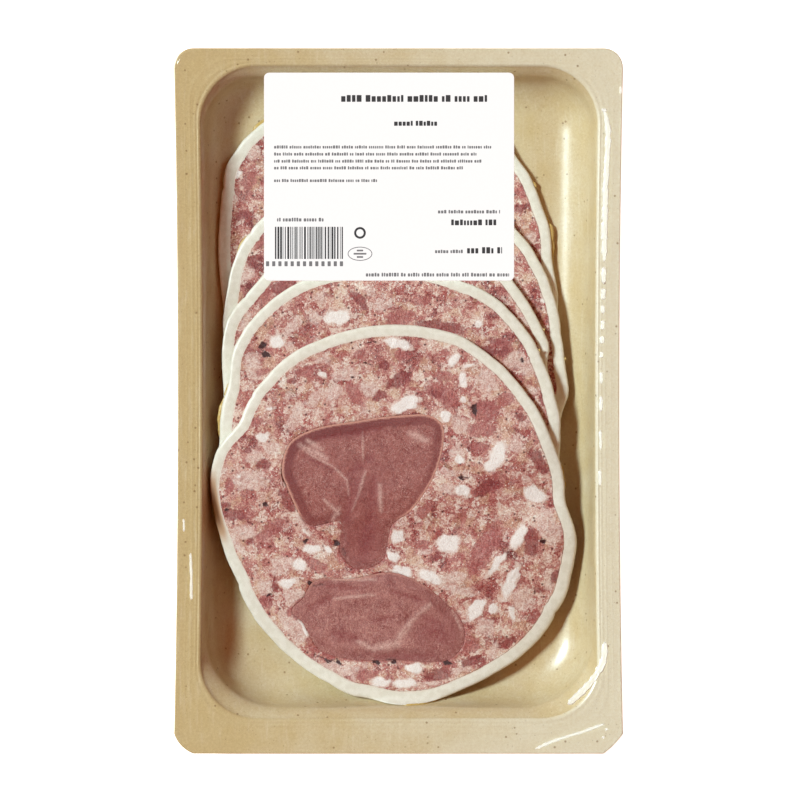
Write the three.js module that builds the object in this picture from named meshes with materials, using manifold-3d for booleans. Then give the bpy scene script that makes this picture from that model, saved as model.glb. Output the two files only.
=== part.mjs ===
// A sealed shelf pack of sliced pork head and tongue roulade, lying flat with its lid film up.
// Millimetres, +Z up. X runs across the pack and Y along it, towards the end with the label.
// The origin is under the middle of the pack, on the surface that the tray's floor stands on.

import * as THREE from 'three';
import { mergeVertices } from 'three/addons/utils/BufferGeometryUtils.js';
import Module from 'manifold-3d';

const wasm = await Module();
wasm.setup();

// What is left open between two pieces that touch in the real pack.
const GAP = 0.3;

// The tray is one formed plastic sheet: a flange all round, a ledge, a wall, a wide fillet and a flat floor.
const TRAY_LENGTH = 240;
const TRAY_WIDTH = 153;
const TRAY_HEIGHT = 17.8;
const SHEET = 0.8;
const WAIST = 1.4;
const FILLET_RISE = 9;
const WALL_DRAFT = 0.5;
const LEDGE_DROP = 1.3;
const LEDGE_EDGE_DROP = 0.7;
const LIP_ROUND = 0.6;
const FLANGE_CORNER = 6.8;
const LIP_CORNER = 19.5;
const LEDGE_TOP_CORNER = 18;
const LEDGE_BOTTOM_CORNER = 25;
const FLOOR_TOP_CORNER = 11;
const FLOOR_BOTTOM_CORNER = 18;
const CORNER_STEPS = 7;
const SIDE_STEPS = 5;
const FILLET_STEPS = 5;

// The flange is 8.5 mm wide on three sides and 12 mm at the bottom end, so the hollow sits off centre.
const LIP_CENTRE = [0.2, 2.9];
const LIP_HALF = [67.8, 110.7];
const LEDGE_CENTRE = [0.3, 3.1];
const LEDGE_HALF = [66.7, 107.5];
const FLOOR_CENTRE = [0.3, 1.85];
const FLOOR_HALF = [57.7, 99.75];

// The roulade was cut into slices of one thickness. A pale rind stands just proud of the meat.
const SLICE_THICKNESS = 2.9;
const RIND_WIDTH = 3.8;
const RIND_RISE = 0.25;
const RIM_POINTS = 60;

// Each slice lies on those before it. Its outline is a rounded ellipse with a few lumps and dents:
// [direction in degrees, rise in mm, spread in degrees].
const SLICES = [
  {
    centre: [-4.6, 43.6], half: [57, 62], squareness: 2.5, turn: 10,
    lumps: [[146, 1.3, 5], [163, -1, 8], [42, -1.2, 6]],
  },
  {
    centre: [-1.8, 15], half: [57.8, 63.5], squareness: 2.3, turn: 12,
    lumps: [[141, 0.9, 8], [165, -0.9, 8], [46, -1.2, 6], [349, 1.3, 6]],
  },
  {
    centre: [-4.2, -5], half: [58.6, 63], squareness: 2.35, turn: 0,
    lumps: [[152, 0.8, 8], [24, 0.5, 8]],
  },
  {
    centre: [-4.2, -18.2], half: [59.2, 63.5], squareness: 2.35, turn: 0,
    lumps: [[152, 0.9, 8], [68, -0.6, 7], [33, -0.5, 7]],
  },
  {
    centre: [-1, -38.7], half: [59.1, 63.5], squareness: 2.23, turn: 24,
    lumps: [
      [150, -2.6, 6], [168, 1.3, 10], [5, -1.5, 10], [36, 0.9, 9], [70, 0.9, 9],
      [238, -0.6, 14], [262, -1.2, 5], [281, 1.7, 8], [310, -0.8, 9], [333, 0.5, 8],
    ],
  },
];

// A slice keeps level over the edge of the one below, then sinks to the floor over a gentle ramp.
const GRID_CELL = 7;
const LEVEL_MARGIN = GRID_CELL * Math.SQRT2;
const RAMP_LENGTH = 24;

// The front slice's foot leans on the fillet at the bottom end of the tray.
const FOOT_LIFT = 3.2;
const FOOT_START = -84;
const FOOT_END = -103;

// The two cuts through tongue that show in the front slice, as knots of a smooth outline, in mm.
const UPPER_TONGUE = [
  [-39.6, -23.8], [-36.9, -14.3], [-28.1, -9.9], [-15.1, -7.7], [-2.2, -5.8], [11.1, -5.5],
  [15.1, -8.9], [13.1, -22.8], [4.4, -37.1], [-2.2, -42.2], [-5.8, -54.5], [-14.1, -57.1],
  [-19.6, -52], [-19.6, -41.2], [-30.4, -42.2], [-37.9, -29.2],
];
const LOWER_TONGUE = [
  [-37.9, -71.7], [-32.5, -67.3], [-28.6, -61.4], [-15.1, -60.6], [-2.2, -58.5], [8.7, -62.9],
  [16.5, -69.4], [21.8, -75.8], [21.8, -83.6], [16.5, -88.4], [2.2, -88.4], [-17.2, -87.9],
  [-27, -84.7], [-32.5, -75.8],
];
const TONGUE_POINTS = 40;

// The lid film is welded to the flange, and the label is stuck on the film.
const FILM_THICKNESS = 0.3;
const FILM_SETBACK = 0.4;
const LABEL_SIZE = [85, 70.7];
const LABEL_CENTRE = [-3.2, 76.2];
const LABEL_CORNER = 1.8;
const LABEL_THICKNESS = 0.2;

// Cutting prisms run from below the pack to above it, and points closer than this are one point.
const BELOW_ALL = -5;
const ABOVE_ALL = 2 * TRAY_HEIGHT;
const MERGE_DISTANCE = 1e-5;

const FLOOR = SHEET;
const LEDGE_HEIGHT = TRAY_HEIGHT - LEDGE_DROP;

function paint(color, roughness) {
  return new THREE.MeshStandardMaterial({ color, roughness, metalness: 0 });
}

const trayPlastic = paint(0xd3c19a, 0.45);
const meat = paint(0xbe827d, 0.4);
const tongueMeat = paint(0x96505a, 0.4);
const filmPlastic = paint(0xeef0ee, 0.1);
const labelPaper = paint(0xfafafa, 0.6);

function smoothstep(value) {
  const t = Math.min(1, Math.max(0, value));
  return t * t * (3 - 2 * t);
}

// The pack's long sides are drawn in a little at the middle.
function waistScale(y) {
  const along = (2 * y) / TRAY_LENGTH;
  return 1 - ((2 * WAIST) / TRAY_WIDTH) * (1 - along * along);
}

// One ring of the tray, counter-clockwise: four corners joined by sides. A cut corner runs straight across.
function ring({ centre, half, topCorner, bottomCorner, bottomCut = 0 }, inset, z) {
  const points = [];
  const signs = [[1, 1], [-1, 1], [-1, -1], [1, -1]];
  signs.forEach(([signX, signY], corner) => {
    const radius = (signY > 0 ? topCorner : bottomCorner) - inset;
    const cut = signY > 0 ? 0 : bottomCut;
    const middleX = centre[0] + signX * (half[0] - inset - radius);
    const middleY = centre[1] + signY * (half[1] - inset - radius);
    const start = (corner * Math.PI) / 2;
    const at = (angle) => [middleX + radius * Math.cos(angle), middleY + radius * Math.sin(angle)];
    const first = at(start);
    const last = at(start + Math.PI / 2);
    for (let step = 0; step <= CORNER_STEPS; step += 1) {
      const t = step / CORNER_STEPS;
      const round = at(start + (t * Math.PI) / 2);
      const straight = [first[0] + (last[0] - first[0]) * t, first[1] + (last[1] - first[1]) * t];
      points.push([round[0] + (straight[0] - round[0]) * cut, round[1] + (straight[1] - round[1]) * cut]);
    }
  });
  return withSidePoints(points).map(([x, y]) => [x * waistScale(y), y, z]);
}

// Adds points along the two long sides, so that they can follow the waist.
function withSidePoints(points) {
  const perCorner = CORNER_STEPS + 1;
  const out = [];
  points.forEach((point, index) => {
    out.push(point);
    const endsLeftCorner = index === 2 * perCorner - 1;
    const endsRightCorner = index === 4 * perCorner - 1;
    if (endsLeftCorner || endsRightCorner) {
      const next = points[(index + 1) % points.length];
      for (let step = 1; step < SIDE_STEPS; step += 1) {
        const t = step / SIDE_STEPS;
        out.push([point[0] + (next[0] - point[0]) * t, point[1] + (next[1] - point[1]) * t]);
      }
    }
  });
  return out;
}

const FLANGE_EDGE = {
  centre: [0, 0], half: [TRAY_WIDTH / 2, TRAY_LENGTH / 2],
  topCorner: FLANGE_CORNER, bottomCorner: FLANGE_CORNER, bottomCut: 0.85,
};
const LIP = { centre: LIP_CENTRE, half: LIP_HALF, topCorner: LIP_CORNER, bottomCorner: LIP_CORNER };
const LEDGE = {
  centre: LEDGE_CENTRE, half: LEDGE_HALF, topCorner: LEDGE_TOP_CORNER, bottomCorner: LEDGE_BOTTOM_CORNER,
};
const FLOOR_EDGE = {
  centre: FLOOR_CENTRE, half: FLOOR_HALF, topCorner: FLOOR_TOP_CORNER, bottomCorner: FLOOR_BOTTOM_CORNER,
};

// An outline part of the way from the floor's edge to the ledge.
function between(share) {
  const mix = (a, b) => a + (b - a) * share;
  return {
    centre: [mix(FLOOR_EDGE.centre[0], LEDGE.centre[0]), mix(FLOOR_EDGE.centre[1], LEDGE.centre[1])],
    half: [mix(FLOOR_EDGE.half[0], LEDGE.half[0]), mix(FLOOR_EDGE.half[1], LEDGE.half[1])],
    topCorner: mix(FLOOR_EDGE.topCorner, LEDGE.topCorner),
    bottomCorner: mix(FLOOR_EDGE.bottomCorner, LEDGE.bottomCorner),
  };
}

// The rings of the fillet's inside, from the floor up to the wall, moved into the hollow by the inset.
function filletRings(inset) {
  const run = LEDGE_HALF[0] - FLOOR_HALF[0];
  const rings = [];
  for (let step = 0; step <= FILLET_STEPS; step += 1) {
    const angle = (step / FILLET_STEPS) * (Math.PI / 2);
    const share = (1 - WALL_DRAFT / run) * Math.sin(angle);
    const z = FLOOR + FILLET_RISE * (1 - Math.cos(angle)) + inset * Math.cos(angle);
    rings.push(ring(between(share), inset * Math.sin(angle), z));
  }
  return rings;
}

// A closed body from a stack of rings, with a point in the middle of the first and of the last.
function bodyFromRings(rings, firstCentre, lastCentre) {
  const count = rings[0].length;
  const positions = [firstCentre, ...rings.flat(), lastCentre].flat();
  const index = [];
  const last = rings.length * count + 1;
  for (let i = 0; i < count; i += 1) {
    const next = (i + 1) % count;
    index.push(0, 1 + i, 1 + next);
    for (let level = 0; level < rings.length - 1; level += 1) {
      const a = 1 + level * count;
      const b = a + count;
      index.push(a + i, b + i, b + next, a + i, b + next, a + next);
    }
    const top = 1 + (rings.length - 1) * count;
    index.push(top + i, last, top + next);
  }
  const geometry = new THREE.BufferGeometry();
  geometry.setAttribute('position', new THREE.Float32BufferAttribute(positions, 3));
  geometry.setIndex(index);
  geometry.computeVertexNormals();
  return geometry;
}

// The tray's section runs from the floor's middle up the inside, round the flange's edge and back below.
function trayGeometry() {
  const inside = [
    ...filletRings(0),
    ring(LEDGE, 0, LEDGE_HEIGHT),
    ring(LIP, 0, TRAY_HEIGHT - LEDGE_EDGE_DROP),
    ring(LIP, -LIP_ROUND, TRAY_HEIGHT),
    ring(FLANGE_EDGE, 0, TRAY_HEIGHT),
  ];
  const outside = [
    ...filletRings(-SHEET),
    ring(LEDGE, -SHEET, LEDGE_HEIGHT - SHEET),
    ring(LIP, -SHEET / 2, TRAY_HEIGHT - LEDGE_EDGE_DROP - SHEET),
    ring(LIP, -LIP_ROUND - SHEET, TRAY_HEIGHT - SHEET),
    ring(FLANGE_EDGE, 0, TRAY_HEIGHT - SHEET),
  ];
  const [x, y] = FLOOR_CENTRE;
  return bodyFromRings([...inside, ...outside.reverse()], [x, y, FLOOR], [x, y, 0]);
}

// The room inside the tray, with a gap left along the floor and walls.
function hollowGeometry() {
  const [x, y] = FLOOR_CENTRE;
  const rings = [...filletRings(GAP), ring(LEDGE, GAP, LEDGE_HEIGHT), ring(LEDGE, GAP, TRAY_HEIGHT)];
  return bodyFromRings(rings.reverse(), [x, y, TRAY_HEIGHT], [x, y, FLOOR + GAP]);
}

// A slice's radius in a direction given in degrees.
function rimRadius({ half, squareness, turn, lumps }, degrees) {
  const angle = THREE.MathUtils.degToRad(degrees - turn);
  const across = (Math.abs(Math.cos(angle)) / half[0]) ** squareness;
  const along = (Math.abs(Math.sin(angle)) / half[1]) ** squareness;
  const lumpy = lumps.reduce((sum, [direction, rise, spread]) => {
    const away = THREE.MathUtils.euclideanModulo(degrees - direction + 180, 360) - 180;
    return sum + rise * Math.exp(-((away / spread) ** 2));
  }, 0);
  return (across + along) ** (-1 / squareness) + lumpy;
}

function sliceOutline(slice, inset) {
  return Array.from({ length: RIM_POINTS }, (_, i) => {
    const degrees = (360 * i) / RIM_POINTS;
    const radius = rimRadius(slice, degrees) - inset;
    const angle = THREE.MathUtils.degToRad(degrees);
    return new THREE.Vector2(
      slice.centre[0] + radius * Math.cos(angle),
      slice.centre[1] + radius * Math.sin(angle),
    );
  });
}

// A cover of 1 on and close round a slice, falling to 0 away from it.
function cover(slice, x, y) {
  const dx = x - slice.centre[0];
  const dy = y - slice.centre[1];
  const degrees = THREE.MathUtils.radToDeg(Math.atan2(dy, dx));
  const beyond = Math.hypot(dx, dy) - rimRadius(slice, degrees) - LEVEL_MARGIN;
  return 1 - smoothstep(beyond / RAMP_LENGTH);
}

// The height of a slice's underside: the tray's floor, and one step for each slice before it.
function underside(order, x, y) {
  const foot = FOOT_LIFT * smoothstep((FOOT_START - y) / (FOOT_START - FOOT_END));
  return SLICES.slice(0, order).reduce(
    (height, lower) => height + (SLICE_THICKNESS + GAP) * cover(lower, x, y),
    FLOOR + GAP + foot,
  );
}

// A closed sheet over a square grid of points that every slice shares, between two height functions.
function sheetBetween(slice, bottomHeight, topHeight) {
  const reach = Math.max(...slice.half) + GRID_CELL;
  const low = slice.centre.map((c) => Math.floor((c - reach) / GRID_CELL));
  const high = slice.centre.map((c) => Math.ceil((c + reach) / GRID_CELL));
  const columns = high[0] - low[0] + 1;
  const rows = high[1] - low[1] + 1;
  const positions = [];
  [topHeight, bottomHeight].forEach((height) => {
    for (let row = 0; row < rows; row += 1) {
      for (let column = 0; column < columns; column += 1) {
        const x = (low[0] + column) * GRID_CELL;
        const y = (low[1] + row) * GRID_CELL;
        positions.push(x, y, height(x, y));
      }
    }
  });
  const geometry = new THREE.BufferGeometry();
  geometry.setAttribute('position', new THREE.Float32BufferAttribute(positions, 3));
  geometry.setIndex([...sheetFaces(columns, rows), ...sheetEdges(columns, rows)]);
  return geometry;
}

function sheetFaces(columns, rows) {
  const index = [];
  const under = columns * rows;
  for (let row = 0; row < rows - 1; row += 1) {
    for (let column = 0; column < columns - 1; column += 1) {
      const a = row * columns + column;
      const b = a + 1;
      const c = a + columns + 1;
      const d = a + columns;
      index.push(a, b, c, a, c, d);
      index.push(under + a, under + c, under + b, under + a, under + d, under + c);
    }
  }
  return index;
}

// The grid's border points in order, counter-clockwise seen from above.
function borderPoints(columns, rows) {
  const side = (count, at) => Array.from({ length: count }, (_, i) => at(i));
  const lastColumn = columns - 1;
  const lastRow = rows - 1;
  return [
    ...side(lastColumn, (i) => i),
    ...side(lastRow, (i) => i * columns + lastColumn),
    ...side(lastColumn, (i) => lastRow * columns + lastColumn - i),
    ...side(lastRow, (i) => (lastRow - i) * columns),
  ];
}

function sheetEdges(columns, rows) {
  const border = borderPoints(columns, rows);
  const under = columns * rows;
  return border.flatMap((a, i) => {
    const b = border[(i + 1) % border.length];
    return [a, under + a, under + b, a, under + b, b];
  });
}

// An upright prism on an outline, between two heights.
function prism(outline, bottom, top) {
  const geometry = new THREE.ExtrudeGeometry(new THREE.Shape(outline), {
    depth: top - bottom, bevelEnabled: false,
  });
  return geometry.translate(0, 0, bottom);
}

// A three.js geometry as a solid that can be cut and joined, and back.
function toSolid(geometry) {
  const bare = geometry.clone();
  bare.deleteAttribute('normal');
  bare.deleteAttribute('uv');
  const merged = mergeVertices(bare, MERGE_DISTANCE);
  return new wasm.Manifold(new wasm.Mesh({
    numProp: 3,
    vertProperties: new Float32Array(merged.attributes.position.array),
    triVerts: new Uint32Array(merged.index.array),
  }));
}

function toGeometry(solid) {
  const mesh = solid.getMesh();
  const geometry = new THREE.BufferGeometry();
  geometry.setAttribute('position', new THREE.BufferAttribute(mesh.vertProperties, mesh.numProp));
  geometry.setIndex(new THREE.BufferAttribute(mesh.triVerts, 1));
  geometry.computeVertexNormals();
  return geometry;
}

const trayHollow = toSolid(hollowGeometry());

function wholePrism(outline) {
  return toSolid(prism(outline, BELOW_ALL, ABOVE_ALL));
}

// The whole slice: the sheet cut to its outline, with the meat a little lower than the rind.
function sliceSolid(order) {
  const slice = SLICES[order];
  const bottom = (x, y) => underside(order, x, y);
  const top = (x, y) => bottom(x, y) + SLICE_THICKNESS;
  const recess = (x, y) => top(x, y) - RIND_RISE;
  const sheet = toSolid(sheetBetween(slice, bottom, top));
  const body = sheet.intersect(wholePrism(sliceOutline(slice, 0))).intersect(trayHollow);
  const hollow = toSolid(sheetBetween(slice, recess, () => ABOVE_ALL));
  return body.subtract(hollow.intersect(wholePrism(sliceOutline(slice, RIND_WIDTH))));
}

// A smooth closed outline through the knots, moved outwards by the given distance.
function tongueOutline(knots, outwards) {
  const curve = new THREE.CatmullRomCurve3(
    knots.map(([x, y]) => new THREE.Vector3(x, y, 0)), true, 'centripetal',
  );
  return curve.getSpacedPoints(TONGUE_POINTS).slice(0, TONGUE_POINTS).map((point, i) => {
    const along = curve.getTangentAt(i / TONGUE_POINTS);
    return new THREE.Vector2(point.x - along.y * outwards, point.y + along.x * outwards);
  });
}

function addPiece(group, name, geometry, material) {
  const mesh = new THREE.Mesh(geometry, material);
  mesh.name = name;
  group.add(mesh);
}

function addSlices(group) {
  const front = SLICES.length - 1;
  for (let order = 0; order < front; order += 1) {
    addPiece(group, `slice_${order + 1}`, toGeometry(sliceSolid(order)), meat);
  }
  let rest = sliceSolid(front);
  const tongues = [['tongue_upper', UPPER_TONGUE], ['tongue_lower', LOWER_TONGUE]];
  tongues.forEach(([name, knots]) => {
    const plug = rest.intersect(wholePrism(tongueOutline(knots, -GAP / 2)));
    rest = rest.subtract(wholePrism(tongueOutline(knots, GAP / 2)));
    addPiece(group, name, toGeometry(plug), tongueMeat);
  });
  addPiece(group, `slice_${front + 1}`, toGeometry(rest), meat);
}

function filmGeometry() {
  const outline = ring(FLANGE_EDGE, FILM_SETBACK, 0).map(([x, y]) => new THREE.Vector2(x, y));
  const bottom = TRAY_HEIGHT + GAP;
  return prism(outline, bottom, bottom + FILM_THICKNESS);
}

function labelGeometry() {
  const [width, height] = LABEL_SIZE;
  const left = LABEL_CENTRE[0] - width / 2;
  const low = LABEL_CENTRE[1] - height / 2;
  const right = left + width;
  const high = low + height;
  const r = LABEL_CORNER;
  const shape = new THREE.Shape();
  shape.absarc(right - r, high - r, r, 0, Math.PI / 2);
  shape.absarc(left + r, high - r, r, Math.PI / 2, Math.PI);
  shape.absarc(left + r, low + r, r, Math.PI, (3 * Math.PI) / 2);
  shape.absarc(right - r, low + r, r, (3 * Math.PI) / 2, 2 * Math.PI);
  const bottom = TRAY_HEIGHT + GAP + FILM_THICKNESS + GAP;
  const geometry = new THREE.ExtrudeGeometry(shape, {
    depth: LABEL_THICKNESS, bevelEnabled: false, curveSegments: 4,
  });
  return geometry.translate(0, 0, bottom);
}

const pack = new THREE.Group();
addPiece(pack, 'tray', trayGeometry(), trayPlastic);
addSlices(pack);
addPiece(pack, 'lid_film', filmGeometry(), filmPlastic);
addPiece(pack, 'label', labelGeometry(), labelPaper);

export default pack;
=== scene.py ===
"""Sliced pork head and tongue roulade in a sealed shelf pack, dressed for its picture.

Lengths are in millimetres up to the point where a mesh, a light or the camera is made, and in
metres from there on. X runs across the pack, Y along it towards the label, and Z up.
"""

import logging
import math
from collections.abc import Callable, Sequence
from dataclasses import dataclass
from enum import Enum

import bpy
import numpy as np
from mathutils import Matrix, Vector
from mathutils.geometry import delaunay_2d_cdt


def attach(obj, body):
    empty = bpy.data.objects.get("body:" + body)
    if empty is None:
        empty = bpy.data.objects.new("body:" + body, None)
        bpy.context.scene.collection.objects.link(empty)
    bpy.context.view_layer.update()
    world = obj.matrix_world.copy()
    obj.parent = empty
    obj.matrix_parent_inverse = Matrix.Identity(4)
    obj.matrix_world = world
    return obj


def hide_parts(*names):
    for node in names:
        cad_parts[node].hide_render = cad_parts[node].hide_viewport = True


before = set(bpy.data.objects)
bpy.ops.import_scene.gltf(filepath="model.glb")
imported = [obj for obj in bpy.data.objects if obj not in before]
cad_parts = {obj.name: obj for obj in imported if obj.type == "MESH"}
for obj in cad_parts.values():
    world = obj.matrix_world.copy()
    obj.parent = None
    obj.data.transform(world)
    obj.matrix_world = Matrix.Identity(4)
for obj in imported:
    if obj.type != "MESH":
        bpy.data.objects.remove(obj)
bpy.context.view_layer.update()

log = logging.getLogger("pack")

Array = np.ndarray
Place = tuple[float, float]
Bump = tuple[float, float, float]
Blob = tuple[float, ...]
Four = tuple[float, float, float, float]
Screen = tuple[int, int, int]
Socket = bpy.types.NodeSocket
Material = bpy.types.Material
Heights = Callable[[Array, Array], Array]

MM = 0.001
BODY = "root"
GAP = 0.3
TRAY_LENGTH = 240.0
TRAY_WIDTH = 153.0
TRAY_HEIGHT = 17.8
WAIST = 1.4
SLICE_THICKNESS = 2.9
FILM_THICKNESS = 0.3


# Helpers for numbers and plan geometry


def srgb(red: float, green: float, blue: float) -> Four:
    """Turns a colour as seen on screen into linear light.

    Args:
        red: Red, from 0 to 255.
        green: Green, from 0 to 255.
        blue: Blue, from 0 to 255.

    Returns:
        Linear red, green, blue and an alpha of 1.
    """

    def linear(value: float) -> float:
        """One channel in linear light."""
        share = value / 255
        return share / 12.92 if share <= 0.04045 else ((share + 0.055) / 1.055) ** 2.4

    return linear(red), linear(green), linear(blue), 1.0


def smoothstep(value: Array) -> Array:
    """Eases from 0 to 1 as the value goes from 0 to 1."""
    t = np.clip(value, 0.0, 1.0)
    return t * t * (3 - 2 * t)


def hill(value: Array, centre: float, spread: float) -> Array:
    """A smooth hill of height 1 round a centre."""
    return np.exp(-(((value - centre) / spread) ** 2))


def waist_scale(y: Array) -> Array:
    """How far the long sides of the pack are drawn in at this place along it."""
    along = 2 * y / TRAY_LENGTH
    return 1 - (2 * WAIST / TRAY_WIDTH) * (1 - along * along)


@dataclass(frozen=True)
class Unevenness:
    """Smooth random unevenness over the plan, from -1 to 1.

    Attributes:
        seed: Which random draw it is.
        size: Distance between its random values.
        table: How many values there are each way before they repeat.
    """

    seed: int
    size: float
    table: int = 97

    def at(self, x: Array, y: Array) -> Array:
        """Reads the unevenness.

        Args:
            x: Places across.
            y: Places along.

        Returns:
            One value for each place.
        """
        values = np.random.default_rng(self.seed).uniform(-1, 1, (self.table, self.table))
        u, v = np.asarray(x) / self.size, np.asarray(y) / self.size
        column, row = np.floor(u).astype(int), np.floor(v).astype(int)
        s, t = smoothstep(u - column), smoothstep(v - row)

        def value(right: int, up: int) -> Array:
            """The random value at a corner of the square that holds the place."""
            return values[(column + right) % self.table, (row + up) % self.table]

        low = value(0, 0) * (1 - s) + value(1, 0) * s
        high = value(0, 1) * (1 - s) + value(1, 1) * s
        return low * (1 - t) + high * t


def inside_loop(loop: Array, points: Array, block: int = 4000) -> Array:
    """Says which points lie inside a closed loop.

    Args:
        loop: Points of the loop.
        points: Points to test.
        block: Points that are tested at a time.

    Returns:
        True for each point inside.
    """
    x0, y0 = loop[:, 0][:, None], loop[:, 1][:, None]
    x1, y1 = np.roll(x0, -1, 0), np.roll(y0, -1, 0)
    rise = np.where(y1 == y0, 1e-12, y1 - y0)
    found = []
    for start in range(0, len(points), block):
        x, y = points[start : start + block].T
        crosses = (y0 > y) != (y1 > y)
        found.append((crosses & (x < x0 + (y - y0) * (x1 - x0) / rise)).sum(0) % 2 == 1)
    return np.concatenate(found) if found else np.zeros(0, bool)


def loop_distance(loop: Array, points: Array, block: int = 4000) -> Array:
    """Distance of each point from a closed loop.

    Args:
        loop: Points of the loop.
        points: Points to measure from.
        block: Points that are measured at a time.

    Returns:
        One distance for each point, never negative.
    """
    start_point, step = loop, np.roll(loop, -1, 0) - loop
    length = np.maximum((step**2).sum(1), 1e-12)
    found = []
    for start in range(0, len(points), block):
        away = points[start : start + block][:, None, :] - start_point[None]
        along = np.clip((away * step).sum(2) / length, 0, 1)
        found.append(np.sqrt((((away - along[..., None] * step) ** 2).sum(2)).min(1)))
    return np.concatenate(found) if found else np.zeros(0)


def outward_normals(loop: Array) -> Array:
    """Unit normals that point out of a closed loop.

    Args:
        loop: Points of the loop.

    Returns:
        One normal for each point.
    """
    ahead = np.roll(loop, -1, 0) - np.roll(loop, 1, 0)
    ahead /= np.linalg.norm(ahead, axis=1)[:, None]
    x, y = loop.T
    turns_left = (x * np.roll(y, -1) - np.roll(x, -1) * y).sum() > 0
    normals = np.stack([ahead[:, 1], -ahead[:, 0]], 1)
    return normals if turns_left else -normals


def smooth_loop(knots: Sequence[Place], count: int, per_span: int = 16) -> Array:
    """A closed smooth curve through knots, as evenly spaced points.

    Args:
        knots: Places that the curve passes through.
        count: Points on the curve.
        per_span: Points for each span while the curve is measured.

    Returns:
        The points, counter-clockwise.
    """
    places = np.array(knots, float)
    before, after = np.roll(places, 1, 0), np.roll(places, -1, 0)
    beyond = np.roll(places, -2, 0)
    t = (np.arange(per_span) / per_span)[None, :, None]

    def chord(a: Array, b: Array) -> Array:
        """The root of the distance between two knots, which spaces the curve."""
        return np.sqrt(np.linalg.norm(b - a, axis=1))[:, None]

    d0, d1, d2 = chord(before, places), chord(places, after), chord(after, beyond)
    leave = (places - before) / d0 - (after - before) / (d0 + d1) + (after - places) / d1
    arrive = (after - places) / d1 - (beyond - places) / (d1 + d2) + (beyond - after) / d2
    p, q = places[:, None], after[:, None]
    m, n = (leave * d1)[:, None], (arrive * d1)[:, None]
    dense = p + m * t + (3 * (q - p) - 2 * m - n) * t**2 + (2 * (p - q) + m + n) * t**3
    dense = dense.reshape(-1, 2)
    x, y = dense.T
    if (x * np.roll(y, -1) - np.roll(x, -1) * y).sum() < 0:
        dense = dense[::-1]
    ring = np.vstack([dense, dense[:1]])
    run = np.concatenate([[0], np.cumsum(np.linalg.norm(np.diff(ring, axis=0), axis=1))])
    at = np.linspace(0, run[-1], count, endpoint=False)
    return np.stack([np.interp(at, run, ring[:, 0]), np.interp(at, run, ring[:, 1])], 1)


def fill_region(
    outer: Array, holes: Sequence[Array], spacing: float, margin: float = 0.6
) -> tuple[Array, Array]:
    """Fills the plan inside a loop with small triangles.

    Args:
        outer: Loop round the region.
        holes: Loops of the holes in it.
        spacing: Distance between the points inside.
        margin: Share of the spacing that stays free along the loops.

    Returns:
        The points inside, and the triangles. They count the outer loop's points first, then
        those of the holes, then the points inside.
    """
    low, high = outer.min(0), outer.max(0)
    rows = np.arange(low[1], high[1], spacing * math.sqrt(3) / 2)
    grid = [
        np.stack([np.arange(low[0] + (i % 2) * spacing / 2, high[0], spacing)], 1)
        for i in range(len(rows))
    ]
    points = np.concatenate([np.hstack([x, np.full_like(x, y)]) for x, y in zip(grid, rows)])
    keep = inside_loop(outer, points) & (loop_distance(outer, points) > margin * spacing)
    for hole in holes:
        keep &= ~inside_loop(hole, points) & (loop_distance(hole, points) > margin * spacing)
    points = points[keep]
    loops = [outer, *holes]
    edges: list[tuple[int, int]] = []
    start = 0
    for loop in loops:
        edges += [(start + i, start + (i + 1) % len(loop)) for i in range(len(loop))]
        start += len(loop)
    everything = np.concatenate([*loops, points])
    made = delaunay_2d_cdt([Vector(p) for p in everything], edges, [], 0, 1e-6)
    origin = np.array([source[0] for source in made[3]])
    faces = origin[np.array([f for f in made[2] if len(f) == 3])]
    middle = everything[faces].mean(1)
    keep = inside_loop(outer, middle)
    for hole in holes:
        keep &= ~inside_loop(hole, middle)
    return points, faces[keep]


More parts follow.
